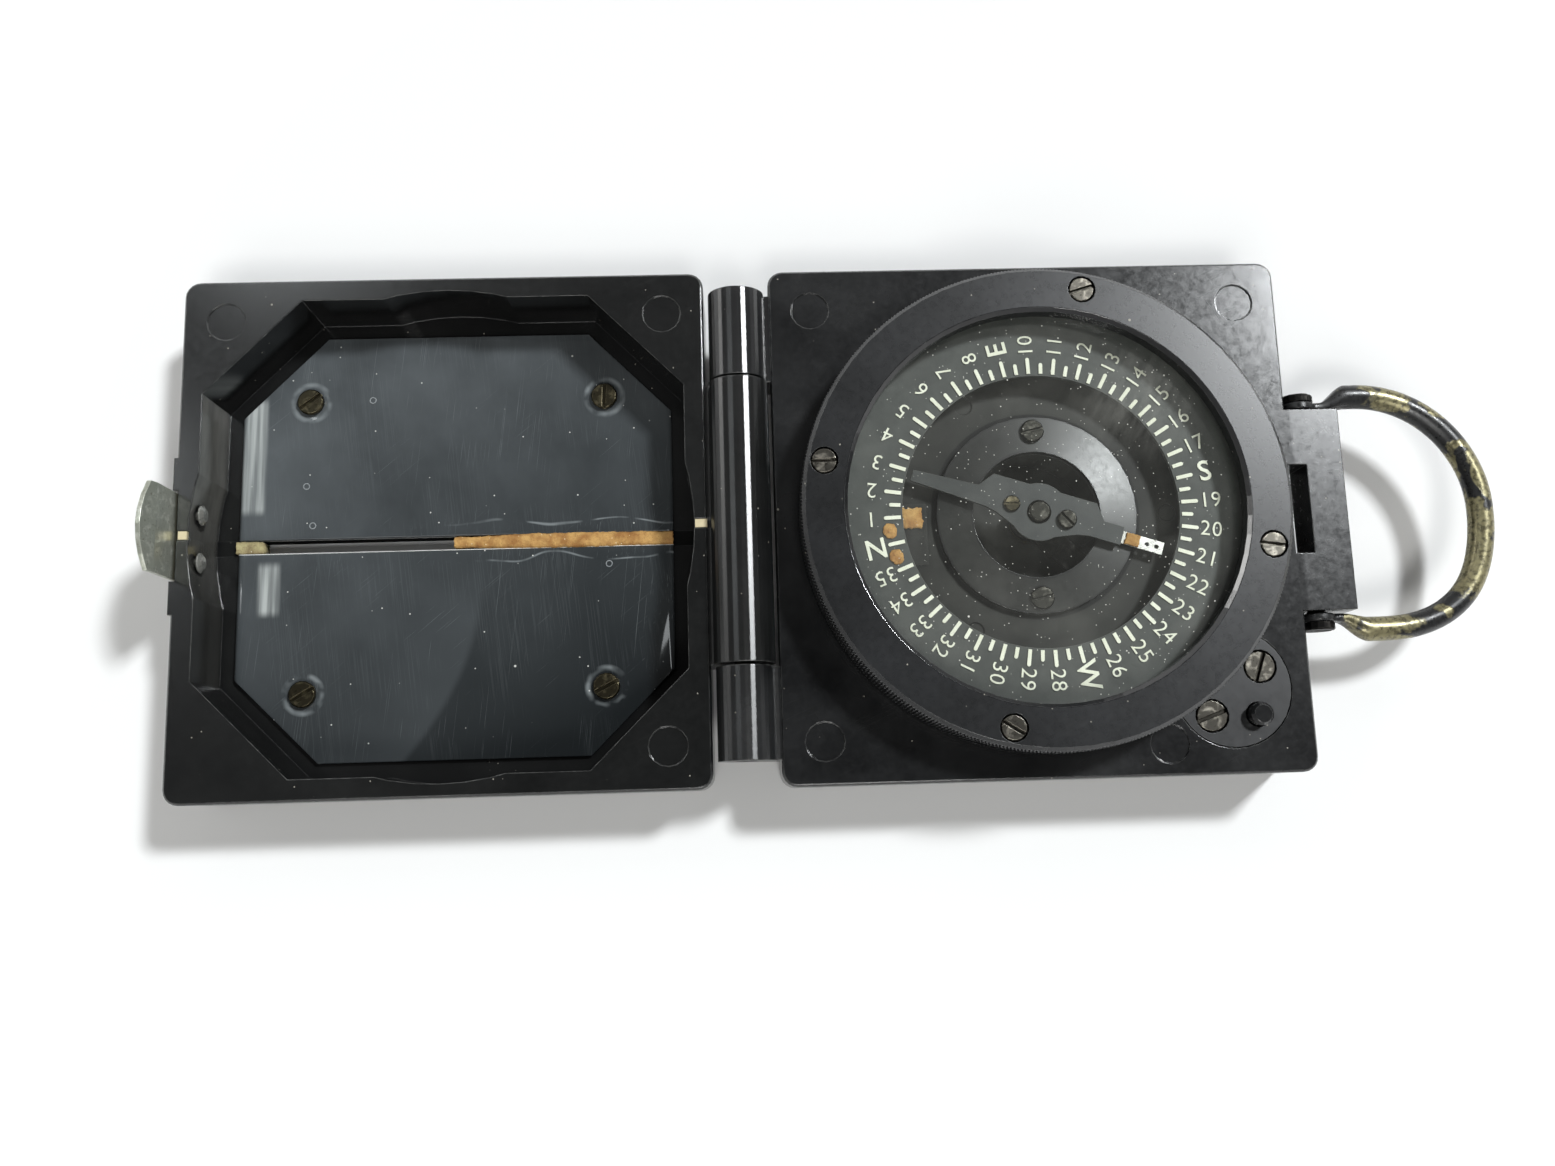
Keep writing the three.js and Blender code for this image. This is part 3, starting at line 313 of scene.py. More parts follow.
def mouldedBlack(name, look, edgeRadius=0.22, isHalf=False):
    finish, tree, skin = newFinish(name)
    normal, edge = softEdge(tree, edgeRadius)
    clouds = grain(tree, look["clouds"], detail=4.0)
    flow = grain(tree, look["flow"], detail=6.0, rough=0.6, warp=0.3)
    pits = grain(tree, look["pits"])
    rubbed = times(edge, band(grain(tree, look["rubs"], detail=4.0), 0.38, 0.66))
    lines = linesOf(tree, look["scratches"])
    dust = dustOf(tree, look)
    tone = layTones(look["black"], [
        (band(clouds, 0.35, 0.7), look["faded"]),
        (times(lines, look["scratchy"]), look["edge"]),
        (rubbed, look["edge"]),
        (times(dust, look["dustAndSheen"]), look["dust"]),
    ])
    rough = blendValue(edge, band(flow, *mostNoise, *look["rough"]), look["edgeRough"])
    rough = reckon("ADD", rough, times(dust, look["dustRough"]), clamp=True)
    shine = band(edge, 0, 1, *look["shine"])
    if isHalf:
        zones = halfZones(tree, zoneSize)
        filmAndSheen = band(grain(tree, look["filmAndSheen"]), *mostNoise, *look["filmAndSheenShares"])
        tone = layTones(tone, [
            # dust and painted sheen on the walls facing the hinge
            (times(zones["dustAndSheen"], filmAndSheen), look["wall"]),
            (times(zones["well"], band(clouds, 0.1, 0.6)), look["well"]),
        ])
        for zone, ends in zoneRough.items():
            rough = blendValue(zones[zone], rough, band(flow, *mostNoise, *ends))
        for zone, left in zoneShine.items():
            shine = times(shine, band(zones[zone], 0, 1, 1.0, left))
        along = addNode(tree, "CombineXYZ", {"Y": 1.0})
        fill(skin, {"Anisotropic": times(zones["barrel"], turningMarks), "Tangent": along.outputs[0]})
    # painted shade: darker in corners and along the ring plate's rims
    grimeAndShade = [band(openness(tree, look["corner"]), 0.88, 0.4)]
    for rim in look["rings"]:
        near = band(gap(fromAxis(tree), rim), *look["ringShadeLine"])
        grimeAndShade.append(times(near, band(flow, 0, 1, *look["ringShadeShares"])))
    tone = layTones(tone, [(share, mouldedLook["black"]) for share in grimeAndShade])
    if "lip" in look:
        lip = band(fromAxis(tree), look["lip"] + look["lipEdge"], look["lip"])
        rough = blendValue(lip, rough, look["lipRough"])
        shine = blendValue(lip, shine, 1.0)
    if "dome" in look:  # turned with a slight fall to the outside
        outward = steer("NORMALIZE", lie(tree, flat))
        fall = steer("MULTIPLY", outward, [look["dome"]] * 3)
        normal = steer("NORMALIZE", steer("ADD", normal, fall))
    fill(skin, {"Base Color": tone, "Roughness": rough, "Specular IOR Level": shine, "IOR": look["ior"],
                "Normal": bump(pits, look["pitShare"], look["pitDepth"], normal)})
    return finish


# metals

steelLook = {"dark": (0.09, 0.084, 0.072), "bright": (0.38, 0.355, 0.3), "grimeAndShade": (0.014, 0.0125, 0.01),
             "rough": (0.26, 0.46)}
dimLook = {"dark": (0.034, 0.033, 0.028), "bright": (0.16, 0.152, 0.13), "grimeAndShade": (0.01, 0.0095, 0.008),
           "rough": (0.3, 0.48)}
brassLook = {"dark": (0.16, 0.115, 0.045), "bright": (0.52, 0.4, 0.19), "grimeAndShade": (0.05, 0.035, 0.018),
             "rough": (0.28, 0.48)}
dullLook = {"dark": (0.055, 0.048, 0.031), "bright": (0.2, 0.172, 0.105), "grimeAndShade": (0.014, 0.0115, 0.007),
            "rough": (0.28, 0.48)}
blackLook = {"dark": (0.012, 0.0115, 0.011), "bright": (0.05, 0.047, 0.042), "grimeAndShade": (0.008, 0.008, 0.007),
             "rough": (0.4, 0.6)}
nickelLook = {"dark": (0.5, 0.52, 0.44), "bright": (0.8, 0.81, 0.72), "grimeAndShade": (0.24, 0.23, 0.16),
              "rough": (0.26, 0.4), "metal": 0.7}
rivetLook = {"dark": (0.3, 0.3, 0.275), "bright": (0.7, 0.7, 0.65), "grimeAndShade": (0.06, 0.06, 0.052),
             "rough": (0.22, 0.34), "metal": 0.6}
silverLook = {"dark": (0.62, 0.62, 0.58), "bright": (0.9, 0.9, 0.86), "grimeAndShade": (0.3, 0.28, 0.22),
              "rough": (0.25, 0.4)}

metalGrain = {"stain": 1.3, "brush": (6.0, 0.07, 0.07), "spots": 0.35, "corner": 0.9}  # mm
metalBrush = {"share": 0.15, "depth": 0.02}  # depth in mm


def wornMetal(name, look, edgeRadius=0.12, brushTurn=20.0):
    finish, tree, skin = newFinish(name)
    normal, edge = softEdge(tree, edgeRadius)
    stain = grain(tree, metalGrain["stain"], detail=5.0, warp=0.5)
    brush = grain(tree, metalGrain["brush"], detail=2.0, turn=brushTurn)
    spots = band(grain(tree, metalGrain["spots"]), 0.58, 0.7, 0.0, 0.7)
    tone = layTones(look["dark"], [
        (reckon("MAXIMUM", edge, band(stain, 0.5, 0.72)), look["bright"]),
        (spots, look["grimeAndShade"]),
        # painted shade in slots and corners
        (band(openness(tree, metalGrain["corner"]), 0.75, 0.3), look["grimeAndShade"]),
    ])
    rough = band(times(stain, brush), 0, 1, *look["rough"])
    fill(skin, {"Base Color": tone, "Metallic": look.get("metal", 1.0), "Roughness": rough,
                "Normal": bump(brush, metalBrush["share"], metalBrush["depth"], normal)})
    return finish


# thumb ring: black lacquer rubbed through to brass

lacquerLook = {
    "lacquer": (0.014, 0.0142, 0.0145), "brass": (0.31, 0.28, 0.155), "dull": (0.165, 0.148, 0.085),
    "rubbed": (46.0, 62.0), "kept": (46.0, 44.0),  # mm along x: barer towards the bend, black by the pivots
    "rubbedBy": 0.08, "keptBy": 0.2, "bareFrom": (0.53, 0.56),  # levels of the blots
    "blots": 6.5, "flecks": 0.7, "edge": 0.5, "step": 0.05,  # mm, the step down from lacquer to brass last
    "metal": 0.55, "rough": (0.2, 0.42),
}


def lacqueredWire(name, look):
    finish, tree, skin = newFinish(name)
    normal = softEdge(tree, look["edge"])[0]
    x = axes(tree)[0]
    blots = grain(tree, look["blots"], detail=5.0, rough=0.5, warp=0.3)
    flecks = grain(tree, look["flecks"])
    level = reckon("ADD", blots, band(x, *look["rubbed"], 0.0, look["rubbedBy"]))
    level = reckon("SUBTRACT", level, band(x, *look["kept"], 0.0, look["keptBy"]))
    bare = band(level, *look["bareFrom"])
    metal = mixTone(band(flecks, 0.4, 0.65), look["dull"], look["brass"])
    step = reckon("SUBTRACT", times(flecks, 0.2), bare)
    fill(skin, {"Base Color": mixTone(bare, look["lacquer"], metal),
                "Metallic": times(bare, look["metal"]),
                "Roughness": band(flecks, *mostNoise, *look["rough"]),
                "Normal": bump(step, 0.5, look["step"], normal)})
    return finish


# printed dial, needle and painted marks

dialLook = {"face": (0.042, 0.047, 0.043), "faded": (0.064, 0.07, 0.064), "dust": (0.42, 0.41, 0.36)}
needleLook = {"face": (0.02, 0.0235, 0.022), "faded": (0.036, 0.04, 0.037), "dust": (0.3, 0.3, 0.26)}
figureLook = {"face": (0.88, 0.9, 0.76), "faded": (0.76, 0.78, 0.63), "dust": (0.4, 0.39, 0.32)}
bubbleLook = {"face": (0.27, 0.29, 0.3), "faded": (0.2, 0.22, 0.23), "dust": (0.4, 0.4, 0.38)}
cutGleamLook = {"face": (0.8, 0.81, 0.79), "faded": (0.62, 0.63, 0.6), "dust": (0.4, 0.4, 0.38)}
creamLook = {"face": (0.66, 0.58, 0.38), "faded": (0.5, 0.42, 0.25), "dust": (0.2, 0.16, 0.1)}

paintGrain = {"edge": 0.08, "blotch": 3.0, "tooth": 0.12, "depth": 0.03, "speckGap": 0.9, "speck": 0.06}  # mm
paintDust = {"edge": 0.4, "specks": 0.8}  # how much it covers


def mattPaint(name, look, rough=(0.5, 0.7), dustShare=0.2):
    finish, tree, skin = newFinish(name)
    normal, edge = softEdge(tree, paintGrain["edge"])
    tooth = grain(tree, paintGrain["tooth"])
    dust = specks(tree, paintGrain["speckGap"], paintGrain["speck"], dustShare)
    tone = layTones(look["face"], [
        (band(grain(tree, paintGrain["blotch"], detail=5.0), 0.35, 0.68), look["faded"]),
        (times(edge, paintDust["edge"]), look["dust"]),
        (times(dust, paintDust["specks"]), look["dust"]),
    ])
    fill(skin, {"Base Color": tone, "Roughness": band(tooth, *mostNoise, *rough),
                "Normal": bump(tooth, 0.2, paintGrain["depth"], normal)})
    return finish


# luminous compound, dried and granular

pasteLook = {"pale": (0.54, 0.32, 0.105), "deep": (0.31, 0.145, 0.038), "grit": (0.12, 0.05, 0.015),
             "fleck": (0.75, 0.62, 0.4)}
# a brighter copy of the paste, painted light for the index patch that lies in shade under its cover
brightLook = {"pale": (0.72, 0.44, 0.15), "deep": (0.46, 0.22, 0.055), "grit": (0.12, 0.05, 0.015),
              "fleck": (0.85, 0.7, 0.42)}
agedLook = {"pale": (0.42, 0.37, 0.19), "deep": (0.22, 0.17, 0.085), "grit": (0.14, 0.1, 0.05),
            "fleck": (0.7, 0.66, 0.48)}

pasteGrain = {"blotch": 1.5, "grit": 0.14, "depth": 0.08, "rough": 0.85, "specks": [(0.7, 0.1, 0.25)]}  # mm


def luminousPaste(name, look):
    finish, tree, skin = newFinish(name)
    grit = grain(tree, pasteGrain["grit"])
    tone = layTones(look["deep"], [
        (band(grain(tree, pasteGrain["blotch"], detail=5.0), 0.34, 0.64), look["pale"]),
        (band(grit, 0.6, 0.7), look["grit"]),
        (dustOf(tree, pasteGrain), look["fleck"]),
    ])
    fill(skin, {"Base Color": tone, "Roughness": pasteGrain["rough"],
                "Normal": bump(grit, 0.6, pasteGrain["depth"])})
    return finish


# glass over the dial and clear plate over the index: sees through, mirrors a little, holds dust

glassLook = {
    "tint": (0.985, 0.99, 0.985), "filmAndSheen": (0.72, 0.72, 0.66), "rough": 0.03, "ior": 1.5,
    "hazeAndSheen": (0.018, 0.034), "cloud": 0.04, "dustAndSheen": 0.8,
    "smearAndGleam": (15.0, 16.0, 0.0), "smearReach": (12.0, 1.0), "smearShare": (0.02, 0.11),  # mm, dust wiped together, with a painted reflection laid there
    "hazeGrain": (9.0, 5.0, 5.0), "hazeTurn": 40.0, "cloudGrain": 11.0, "wipeGrain": (1.2, 5.0, 5.0), "wipeTurn": -30.0,
    "specks": [(0.55, 0.085, 0.3), (1.3, 0.12, 0.4), (3.8, 0.19, 0.4)],
}


def blendShaders(share, first, second):
    return addNode(share.id_data, "MixShader", {0: share, 1: first.outputs[0], 2: second.outputs[0]})


def dustyGlass(name, look):
    finish, tree = blankFinish(name)
    clear = addNode(tree, "BsdfTransparent", {"Color": (*look["tint"], 1)})
    mirror = addNode(tree, "BsdfGlossy", {"Roughness": look["rough"]})
    filmAndSheen = addNode(tree, "BsdfDiffuse", {"Color": (*look["filmAndSheen"], 1)})
    fresnel = addNode(tree, "Fresnel", {"IOR": look["ior"]})
    front = reckon("SUBTRACT", 1.0, addNode(tree, "NewGeometry").outputs["Backfacing"])
    pane = blendShaders(times(fresnel.outputs[0], front), clear, mirror)
    hazeAndSheen = grain(tree, look["hazeGrain"], detail=5.0, turn=look["hazeTurn"])
    hazeAndSheen = band(hazeAndSheen, 0.35, 0.75, *look["hazeAndSheen"])
    cloud = band(grain(tree, look["cloudGrain"], detail=4.0), 0.5, 0.72, 0.0, look["cloud"])
    away = steer("DISTANCE", lie(tree, flat), look["smearAndGleam"])
    wipes = grain(tree, look["wipeGrain"], detail=5.0, turn=look["wipeTurn"])
    wipes = band(wipes, 0.35, 0.7, *look["smearShare"])
    smearAndGleam = times(band(away, *look["smearReach"], soft=True), wipes)
    dirt = reckon("ADD", reckon("ADD", hazeAndSheen, cloud), smearAndGleam)
    dirt = reckon("ADD", dirt, times(dustOf(tree, look), look["dustAndSheen"]), clamp=True)
    whole = blendShaders(times(dirt, front), pane, filmAndSheen)
    addNode(tree, "OutputMaterial", {"Surface": whole.outputs[0]})
    return finish


# celluloid: dark because the black lid lies behind it, glossy, hazed and scratched, with painted reflections

celluloidLook = {
    "deep": (0.014, 0.0165, 0.0178),
    "hazeAndSheen": (0.102, 0.114, 0.121),
    "scratch": (0.3, 0.33, 0.34),
    "dust": (0.62, 0.63, 0.6),
    "reflectionStreak": (0.46, 0.49, 0.48),
    "rough": (0.035, 0.08), "ior": 1.5,
    "bright": (-30.0, 34.0), "dim": (8.0, -34.0),  # mm from the lid's middle, corners where the haze and painted reflection are strongest and weakest
    "cloud": (16.0, 24.0, 16.0), "cloudTurn": 12.0, "cloudShare": (0.55, 1.3),  # mm, degrees
    "screw": 22.3, "halo": 2.8, "haloLine": (0.55, 0.1), "haloBreaks": 3.5,  # mm, arcs round the screws
    "lifted": (1.3, 4.2), "liftedFrom": (-2.0, 9.0), "liftedLine": (0.2, 0.05),  # mm, lines beside the strip
    "liftedSway": 13.0, "liftedBreaks": 4.0,  # mm
    "creaseX": 3.6, "creaseTop": -6.6, "creaseBend": 0.0165, "creaseFade": 16.0,  # mm, but the bend per mm
    "creaseEdge": 0.8, "creaseEnd": (2.0, -5.0),  # mm
    "haloShare": 0.5, "liftedShare": 0.55, "creaseShare": 0.3, "rubShare": 0.04, "fineShare": 0.3,
    # mm long and wide, degrees, level of the noise, mm of the patches they keep to
    "fine": [(30.0, 0.1, 84.0, 0.66, 6.0), (14.0, 0.1, 40.0, 0.7, 9.0)],
    "rub": [(14.0, 0.16, 97.0, 0.56, 8.0)],
    # pale streaks by the left edge, painted reflections: mm from the lid's middle and half width, the same for the
    # height
    "streaks": [(-30.6, 2.2, 14.0, 9.5), (-27.9, 2.0, -6.5, 4.5)], "streakEnds": (1.2, 1.5),
    "streakGrain": (0.9, 20.0, 20.0), "streakShare": (0.25, 0.9),
    "specks": [(1.4, 0.13, 0.2), (4.0, 0.24, 0.25)],
}


# pale arcs round the screws and broken lines where the sheets have lifted along the strip
def sheetMarks(tree, x, y, look):
    besideX = gap(x, lidX)
    besideY = reckon("ABSOLUTE", y)
    offset = addNode(tree, "CombineXYZ", {
        0: reckon("SUBTRACT", besideX, look["screw"]),
        1: reckon("SUBTRACT", besideY, look["screw"]),
    })
    away = steer("LENGTH", offset.outputs[0])
    broken = band(grain(tree, look["haloBreaks"], detail=2.0), 0.42, 0.62, 0.0, look["haloShare"])
    arc = times(band(gap(away, look["halo"]), *look["haloLine"]), broken)
    sway = band(grain(tree, look["liftedSway"], detail=1.0), *mostNoise, *look["lifted"])
    first, full = look["liftedFrom"]
    begun = band(x, lidX + first, lidX + full)
    line = times(band(gap(besideY, sway), *look["liftedLine"]), begun)
    broken = band(grain(tree, look["liftedBreaks"], detail=2.0), 0.36, 0.6, 0.0, look["liftedShare"])
    return reckon("MAXIMUM", arc, times(line, broken))


# painted reflection of a fold, bent like a bow: the sheet is paled on its left
def creaseReflection(x, y, look):
    below = reckon("SUBTRACT", y, look["creaseTop"])
    bent = times(times(below, below), look["creaseBend"])
    beyond = reckon("ADD", reckon("SUBTRACT", x, lidX + look["creaseX"]), bent)
    edge = band(beyond, look["creaseEdge"], -look["creaseEdge"], soft=True)
    left = times(edge, band(beyond, -look["creaseFade"], 0.0))
    return times(left, band(below, *look["creaseEnd"], 0.0, look["creaseShare"]))


# pale streaks by the left edge, painted reflections
def sheetStreaks(tree, x, y, look):
    streaks = []
    endX, endY = look["streakEnds"]
    for middleX, halfX, middleY, halfY in look["streaks"]:
        across = band(gap(x, lidX + middleX), halfX, halfX - endX, soft=True)
        along = band(gap(y, middleY), halfY, halfY - endY, soft=True)
        streaks.append(times(across, along))
    lines = band(grain(tree, look["streakGrain"], detail=2.0), 0.35, 0.65, *look["streakShare"])
    return times(strongest(streaks), lines)


def celluloidHazeAndSheen(name, look):
    finish, tree, skin = newFinish(name)
    x, y = axes(tree)[:2]
    cloud = grain(tree, look["cloud"], detail=5.0, turn=look["cloudTurn"])
    # the sheet pales towards its upper left: haze with a painted reflection
    (brightX, brightY), (dimX, dimY) = look["bright"], look["dim"]
    slopeX, slopeY = brightX - dimX, brightY - dimY
    along = reckon("ADD", times(x, slopeX), times(y, slopeY))
    dimEnd = (lidX + dimX) * slopeX + dimY * slopeY
    brightEnd = (lidX + brightX) * slopeX + brightY * slopeY
    hazeAndSheenShare = times(band(along, dimEnd, brightEnd), band(cloud, *mostNoise, *look["cloudShare"]))
    tone = layTones(look["deep"], [
        (hazeAndSheenShare, look["hazeAndSheen"]),
        (creaseReflection(x, y, look), look["hazeAndSheen"]),
        (sheetStreaks(tree, x, y, look), look["reflectionStreak"]),
        (sheetMarks(tree, x, y, look), look["scratch"]),
        (times(linesOf(tree, look["rub"]), look["rubShare"]), look["scratch"]),
        (times(linesOf(tree, look["fine"]), look["fineShare"]), look["scratch"]),
        (dustOf(tree, look), look["dust"]),
    ])
    fill(skin, {"Base Color": tone, "Roughness": band(cloud, 0.35, 0.72, *look["rough"]),
                "IOR": look["ior"]})
    return finish


mouldedBase = mouldedBlack("mouldedBase", mouldedLook, isHalf=True)
mouldedLid = mouldedBlack("mouldedLid", lidLook, isHalf=True)
mouldedSatin = mouldedBlack("mouldedSatin", satinLook, edgeRadius=0.09)
mouldedLock = mouldedBlack("mouldedLock", lockLook, edgeRadius=0.09)
mouldedWell = mouldedBlack("mouldedWell", wellLook, edgeRadius=0.15)
mouldedPolish = mouldedBlack("mouldedPolish", polishLook, edgeRadius=0.12)
steel = wornMetal("darkenedSteel", steelLook)
dimSteel = wornMetal("dimSteel", dimLook)
brass = wornMetal("tarnishedBrass", brassLook)
dullBrass = wornMetal("dullBrass", dullLook)
blackened = wornMetal("blackenedBrass", blackLook)
nickel = wornMetal("nickelTongue", nickelLook, brushTurn=4.0)
rivet = wornMetal("rivetNickel", rivetLook)
silver = wornMetal("silverTip", silverLook, edgeRadius=0.05)
lacquered = lacqueredWire("rubbedLacquer", lacquerLook)
dialPaint = mattPaint("dialBlack", dialLook)
needlePaint = mattPaint("needleLacquer", needleLook, rough=(0.35, 0.55))
figurePaint = mattPaint("figurePaint", figureLook, dustShare=0.05)
creamPaint = mattPaint("creamFilling", creamLook)
bubbleRim = mattPaint("bubbleRim", bubbleLook, rough=(0.2, 0.35))
cutEdgeGleam = mattPaint("celluloidCutGleam", cutGleamLook)
paste = luminousPaste("luminousPaste", pasteLook)
brightPaste = luminousPaste("brightPaste", brightLook)
agedPaste = luminousPaste("agedPaste", agedLook)
glass = dustyGlass("dialGlass", glassLook)
celluloid = celluloidHazeAndSheen("celluloidHazeAndSheen", celluloidLook)
print("finishes made")

roundedBelow = 24.0  # degrees between facets that read as one round
roundedOnHalf = 12.0
roundedOnWire = 36.0
finishOfNode = {
    "base_case": mouldedBase, "lid_shell": mouldedLid, "bezel_ring": mouldedSatin, "bezel_cover": mouldedSatin,
    "centre_plate": mouldedWell, "lock_disc": mouldedLock, "lock_plunger": mouldedPolish,
    "hinge_pin": steel, "lever_pin": steel, "plunger_spring": steel,
    "needle_screw_steel": dimSteel, "needle_cap": dimSteel, "needle_screw_brass": dullBrass,
    "bezel_keeper": brass, "pivot_post": brass, "lift_lever": blackened, "lift_collar": blackened,
    "catch_spring": nickel, "needle_tip": silver, "thumb_ring": lacquered,
    "dial_ring": dialPaint, "needle_blade": needlePaint, "rim_mark_end": creamPaint, "rim_mark_hinge": creamPaint,
    "needle_patch": paste, "index_patch": paste, "compound_strip": paste, "slit_plug": paste,
    "glass": glass, "index_cover": glass, "celluloid_back": celluloid, "celluloid_front": celluloid,
}
numberedNodes = {
    "plate_screw": (2, dimSteel), "lock_screw": (2, steel), "bezel_screw": (4, steel), "ring_screw": (2, blackened),
    "lid_screw": (4, dullBrass), "catch_rivet": (2, rivet), "dial_dot": (2, paste),
}
for stem, (count, finish) in numberedNodes.items():
    for number in range(1, count + 1):
        finishOfNode[f"{stem}_{number}"] = finish
for nodeName, finish in finishOfNode.items():
    part = nodes[nodeName]
    for slot in part.material_slots:
        slot.link = "OBJECT"
        slot.material = finish
    rounded = roundedOnHalf if finish in (mouldedBase, mouldedLid) else roundedBelow
    part.data.shade_smooth()
    part.data.set_sharp_from_angle(angle=math.radians(rounded))
print("finishes put on", len(finishOfNode), "nodes")


# mesh helpers

def meshOf(name, build, outward=False):
    if outward:
        bmesh.ops.recalc_face_normals(build, faces=build.faces)
    mesh = bpy.data.meshes.new(name)
    build.to_mesh(mesh)
    build.free()
    return mesh


def placePiece(name, mesh, finish, body, smooth=False):
    piece = putInScene(name, mesh)
    mesh.materials.clear()
    mesh.materials.append(finish)
    if smooth:
        mesh.shade_smooth()
    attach(piece, body)
    return piece


def roundOff(piece):
    piece.data.set_sharp_from_angle(angle=math.radians(roundedOnWire))


# cosine and sine at even steps round a circle
def aroundCircle(count):
    return [(math.cos(2 * math.pi * k / count), math.sin(2 * math.pi * k / count)) for k in range(count)]


# skin from each loop of points to the next: back to the first loop, or capped at both ends
def skinLoops(build, loops, capped=False):
    for loop, after in zip(loops, loops[1:] if capped else loops[1:] + loops[:1]):
        for k in range(len(loop)):
            other = (k + 1) % len(loop)
            build.faces.new((loop[k], after[k], after[other], loop[other]))
    if capped:
        build.faces.new(loops[0])
        build.faces.new(loops[-1][::-1])


# closed solid under a grid of points, down to a level or by an even thickness
def gridSolid(name, top, low=None, thick=None):
    build = bmesh.new()
    rows = len(top)
    columns = len(top[0])
    upper = [[build.verts.new(Vector(p) * mm) for p in row] for row in top]
    lower = [[build.verts.new(Vector((x, y, z - thick if thick else low)) * mm) for x, y, z in row] for row in top]
    for i in range(rows - 1):
        for j in range(columns - 1):
            build.faces.new((upper[i][j], upper[i + 1][j], upper[i + 1][j + 1], upper[i][j + 1]))
            build.faces.new((lower[i][j], lower[i][j + 1], lower[i + 1][j + 1], lower[i + 1][j]))
    rim = [(i, 0) for i in range(rows)] + [(rows - 1, j) for j in range(1, columns)]
    rim += [(i, columns - 1) for i in range(rows - 2, -1, -1)] + [(0, j) for j in range(columns - 2, 0, -1)]
    for (a, b), (c, d) in zip(rim, rim[1:] + rim[:1]):
        build.faces.new((upper[c][d], upper[a][b], lower[a][b], lower[c][d]))
    return meshOf(name, build, outward=True)


def smoothStep(low, high, value):
    t = min(max((value - low) / (high - low), 0.0), 1.0)
    return t * t * (3 - 2 * t)


def lump(x, y, size, seed=0.0):
    return noise.noise(Vector((x / size, y / size, seed)))


def raised(value, power):
    return math.copysign(abs(value) ** power, value)


# dial printing: ticks and figures as thin paint on the dial's face

printing = {
    "height": 16.52,  # mm, just proud of the dial
    "thick": 0.03,
    "tickStart": 20.15, "longTick": 22.6, "shortTick": 21.8, "tickWidth": 0.55, "tickEnd": 6,
    "between": 5, "noTick": (5, 355),  # degrees; the luminous dots lie where there is no tick
    "figureReach": 24.4, "figureSize": 3.1, "letterSize": 4.1, "bolder": (0.0, 0.06), "spread": 1.08,
    "letters": {0: "N", 90: "E", 180: "S", 270: "W"},
    "north": 180.0 + bezelTurn,  # degrees, bearing 0 on the dial
}


def addTick(build, angle, end, setup):
    turned = Matrix.Rotation(angle, 4, "Z")
    half = setup["tickWidth"] / 2
    outline = [(setup["tickStart"], -half), (end - half, -half)]
    for step in range(1, setup["tickEnd"]):  # rounded outer end
        sweep = math.pi * (step / setup["tickEnd"] - 0.5)
        outline.append((end - half + half * math.cos(sweep), half * math.sin(sweep)))
    outline += [(end - half, half), (setup["tickStart"], half)]
    bottom, top = [[build.verts.new(turned @ Vector((x * mm, y * mm, z * mm))) for x, y in outline]
                   for z in (setup["height"], setup["height"] + setup["thick"])]
    skinLoops(build, [top, bottom], capped=True)


def letterMesh(text, size, bolder, setup):
    curve = bpy.data.curves.new("figureCurve", "FONT")
    curve.body = text
    curve.size = size * mm
    curve.align_x = "CENTER"
    curve.align_y = "CENTER"
    curve.extrude = setup["thick"] / 2 * mm
    curve.offset = bolder * mm
    curve.resolution_u = 3
    curve.space_character = setup["spread"]
    holder = putInScene("figureHolder", curve)
    bpy.context.view_layer.update()
    mesh = bpy.data.meshes.new_from_object(holder.evaluated_get(bpy.context.evaluated_depsgraph_get()))
    bpy.data.objects.remove(holder)
    bpy.data.curves.remove(curve)
    return mesh


def printDial(setup):
    ticks = bmesh.new()
    figures = bmesh.new()
    middle = (setup["height"] + setup["thick"] / 2) * mm
    reach = setup["figureReach"] * mm
    for bearing in range(0, 360, setup["between"]):
        angle = math.radians(setup["north"] - bearing)
        isTen = bearing % 10 == 0
        if bearing not in setup["noTick"]:
            addTick(ticks, angle, setup["longTick"] if isTen else setup["shortTick"], setup)
        if isTen:
            text = setup["letters"].get(bearing, str(bearing // 10))
            size = setup["letterSize"] if text.isalpha() else setup["figureSize"]
            mesh = letterMesh(text, size, setup["bolder"][text.isalpha()], setup)
            place = Matrix.Translation((reach * math.cos(angle), reach * math.sin(angle), middle))
            mesh.transform(place @ Matrix.Rotation(angle, 4, "Z"))
            figures.from_mesh(mesh)
            bpy.data.meshes.remove(mesh)
    placePiece("dialTicks", meshOf("dialTicks", ticks), figurePaint, "bezel")
    placePiece("dialFigures", meshOf("dialFigures", figures), figurePaint, "bezel")


printDial(printing)
print("dial printed")


# compound: granular lumps in the lid's slit, on the dial, the needle and the floor

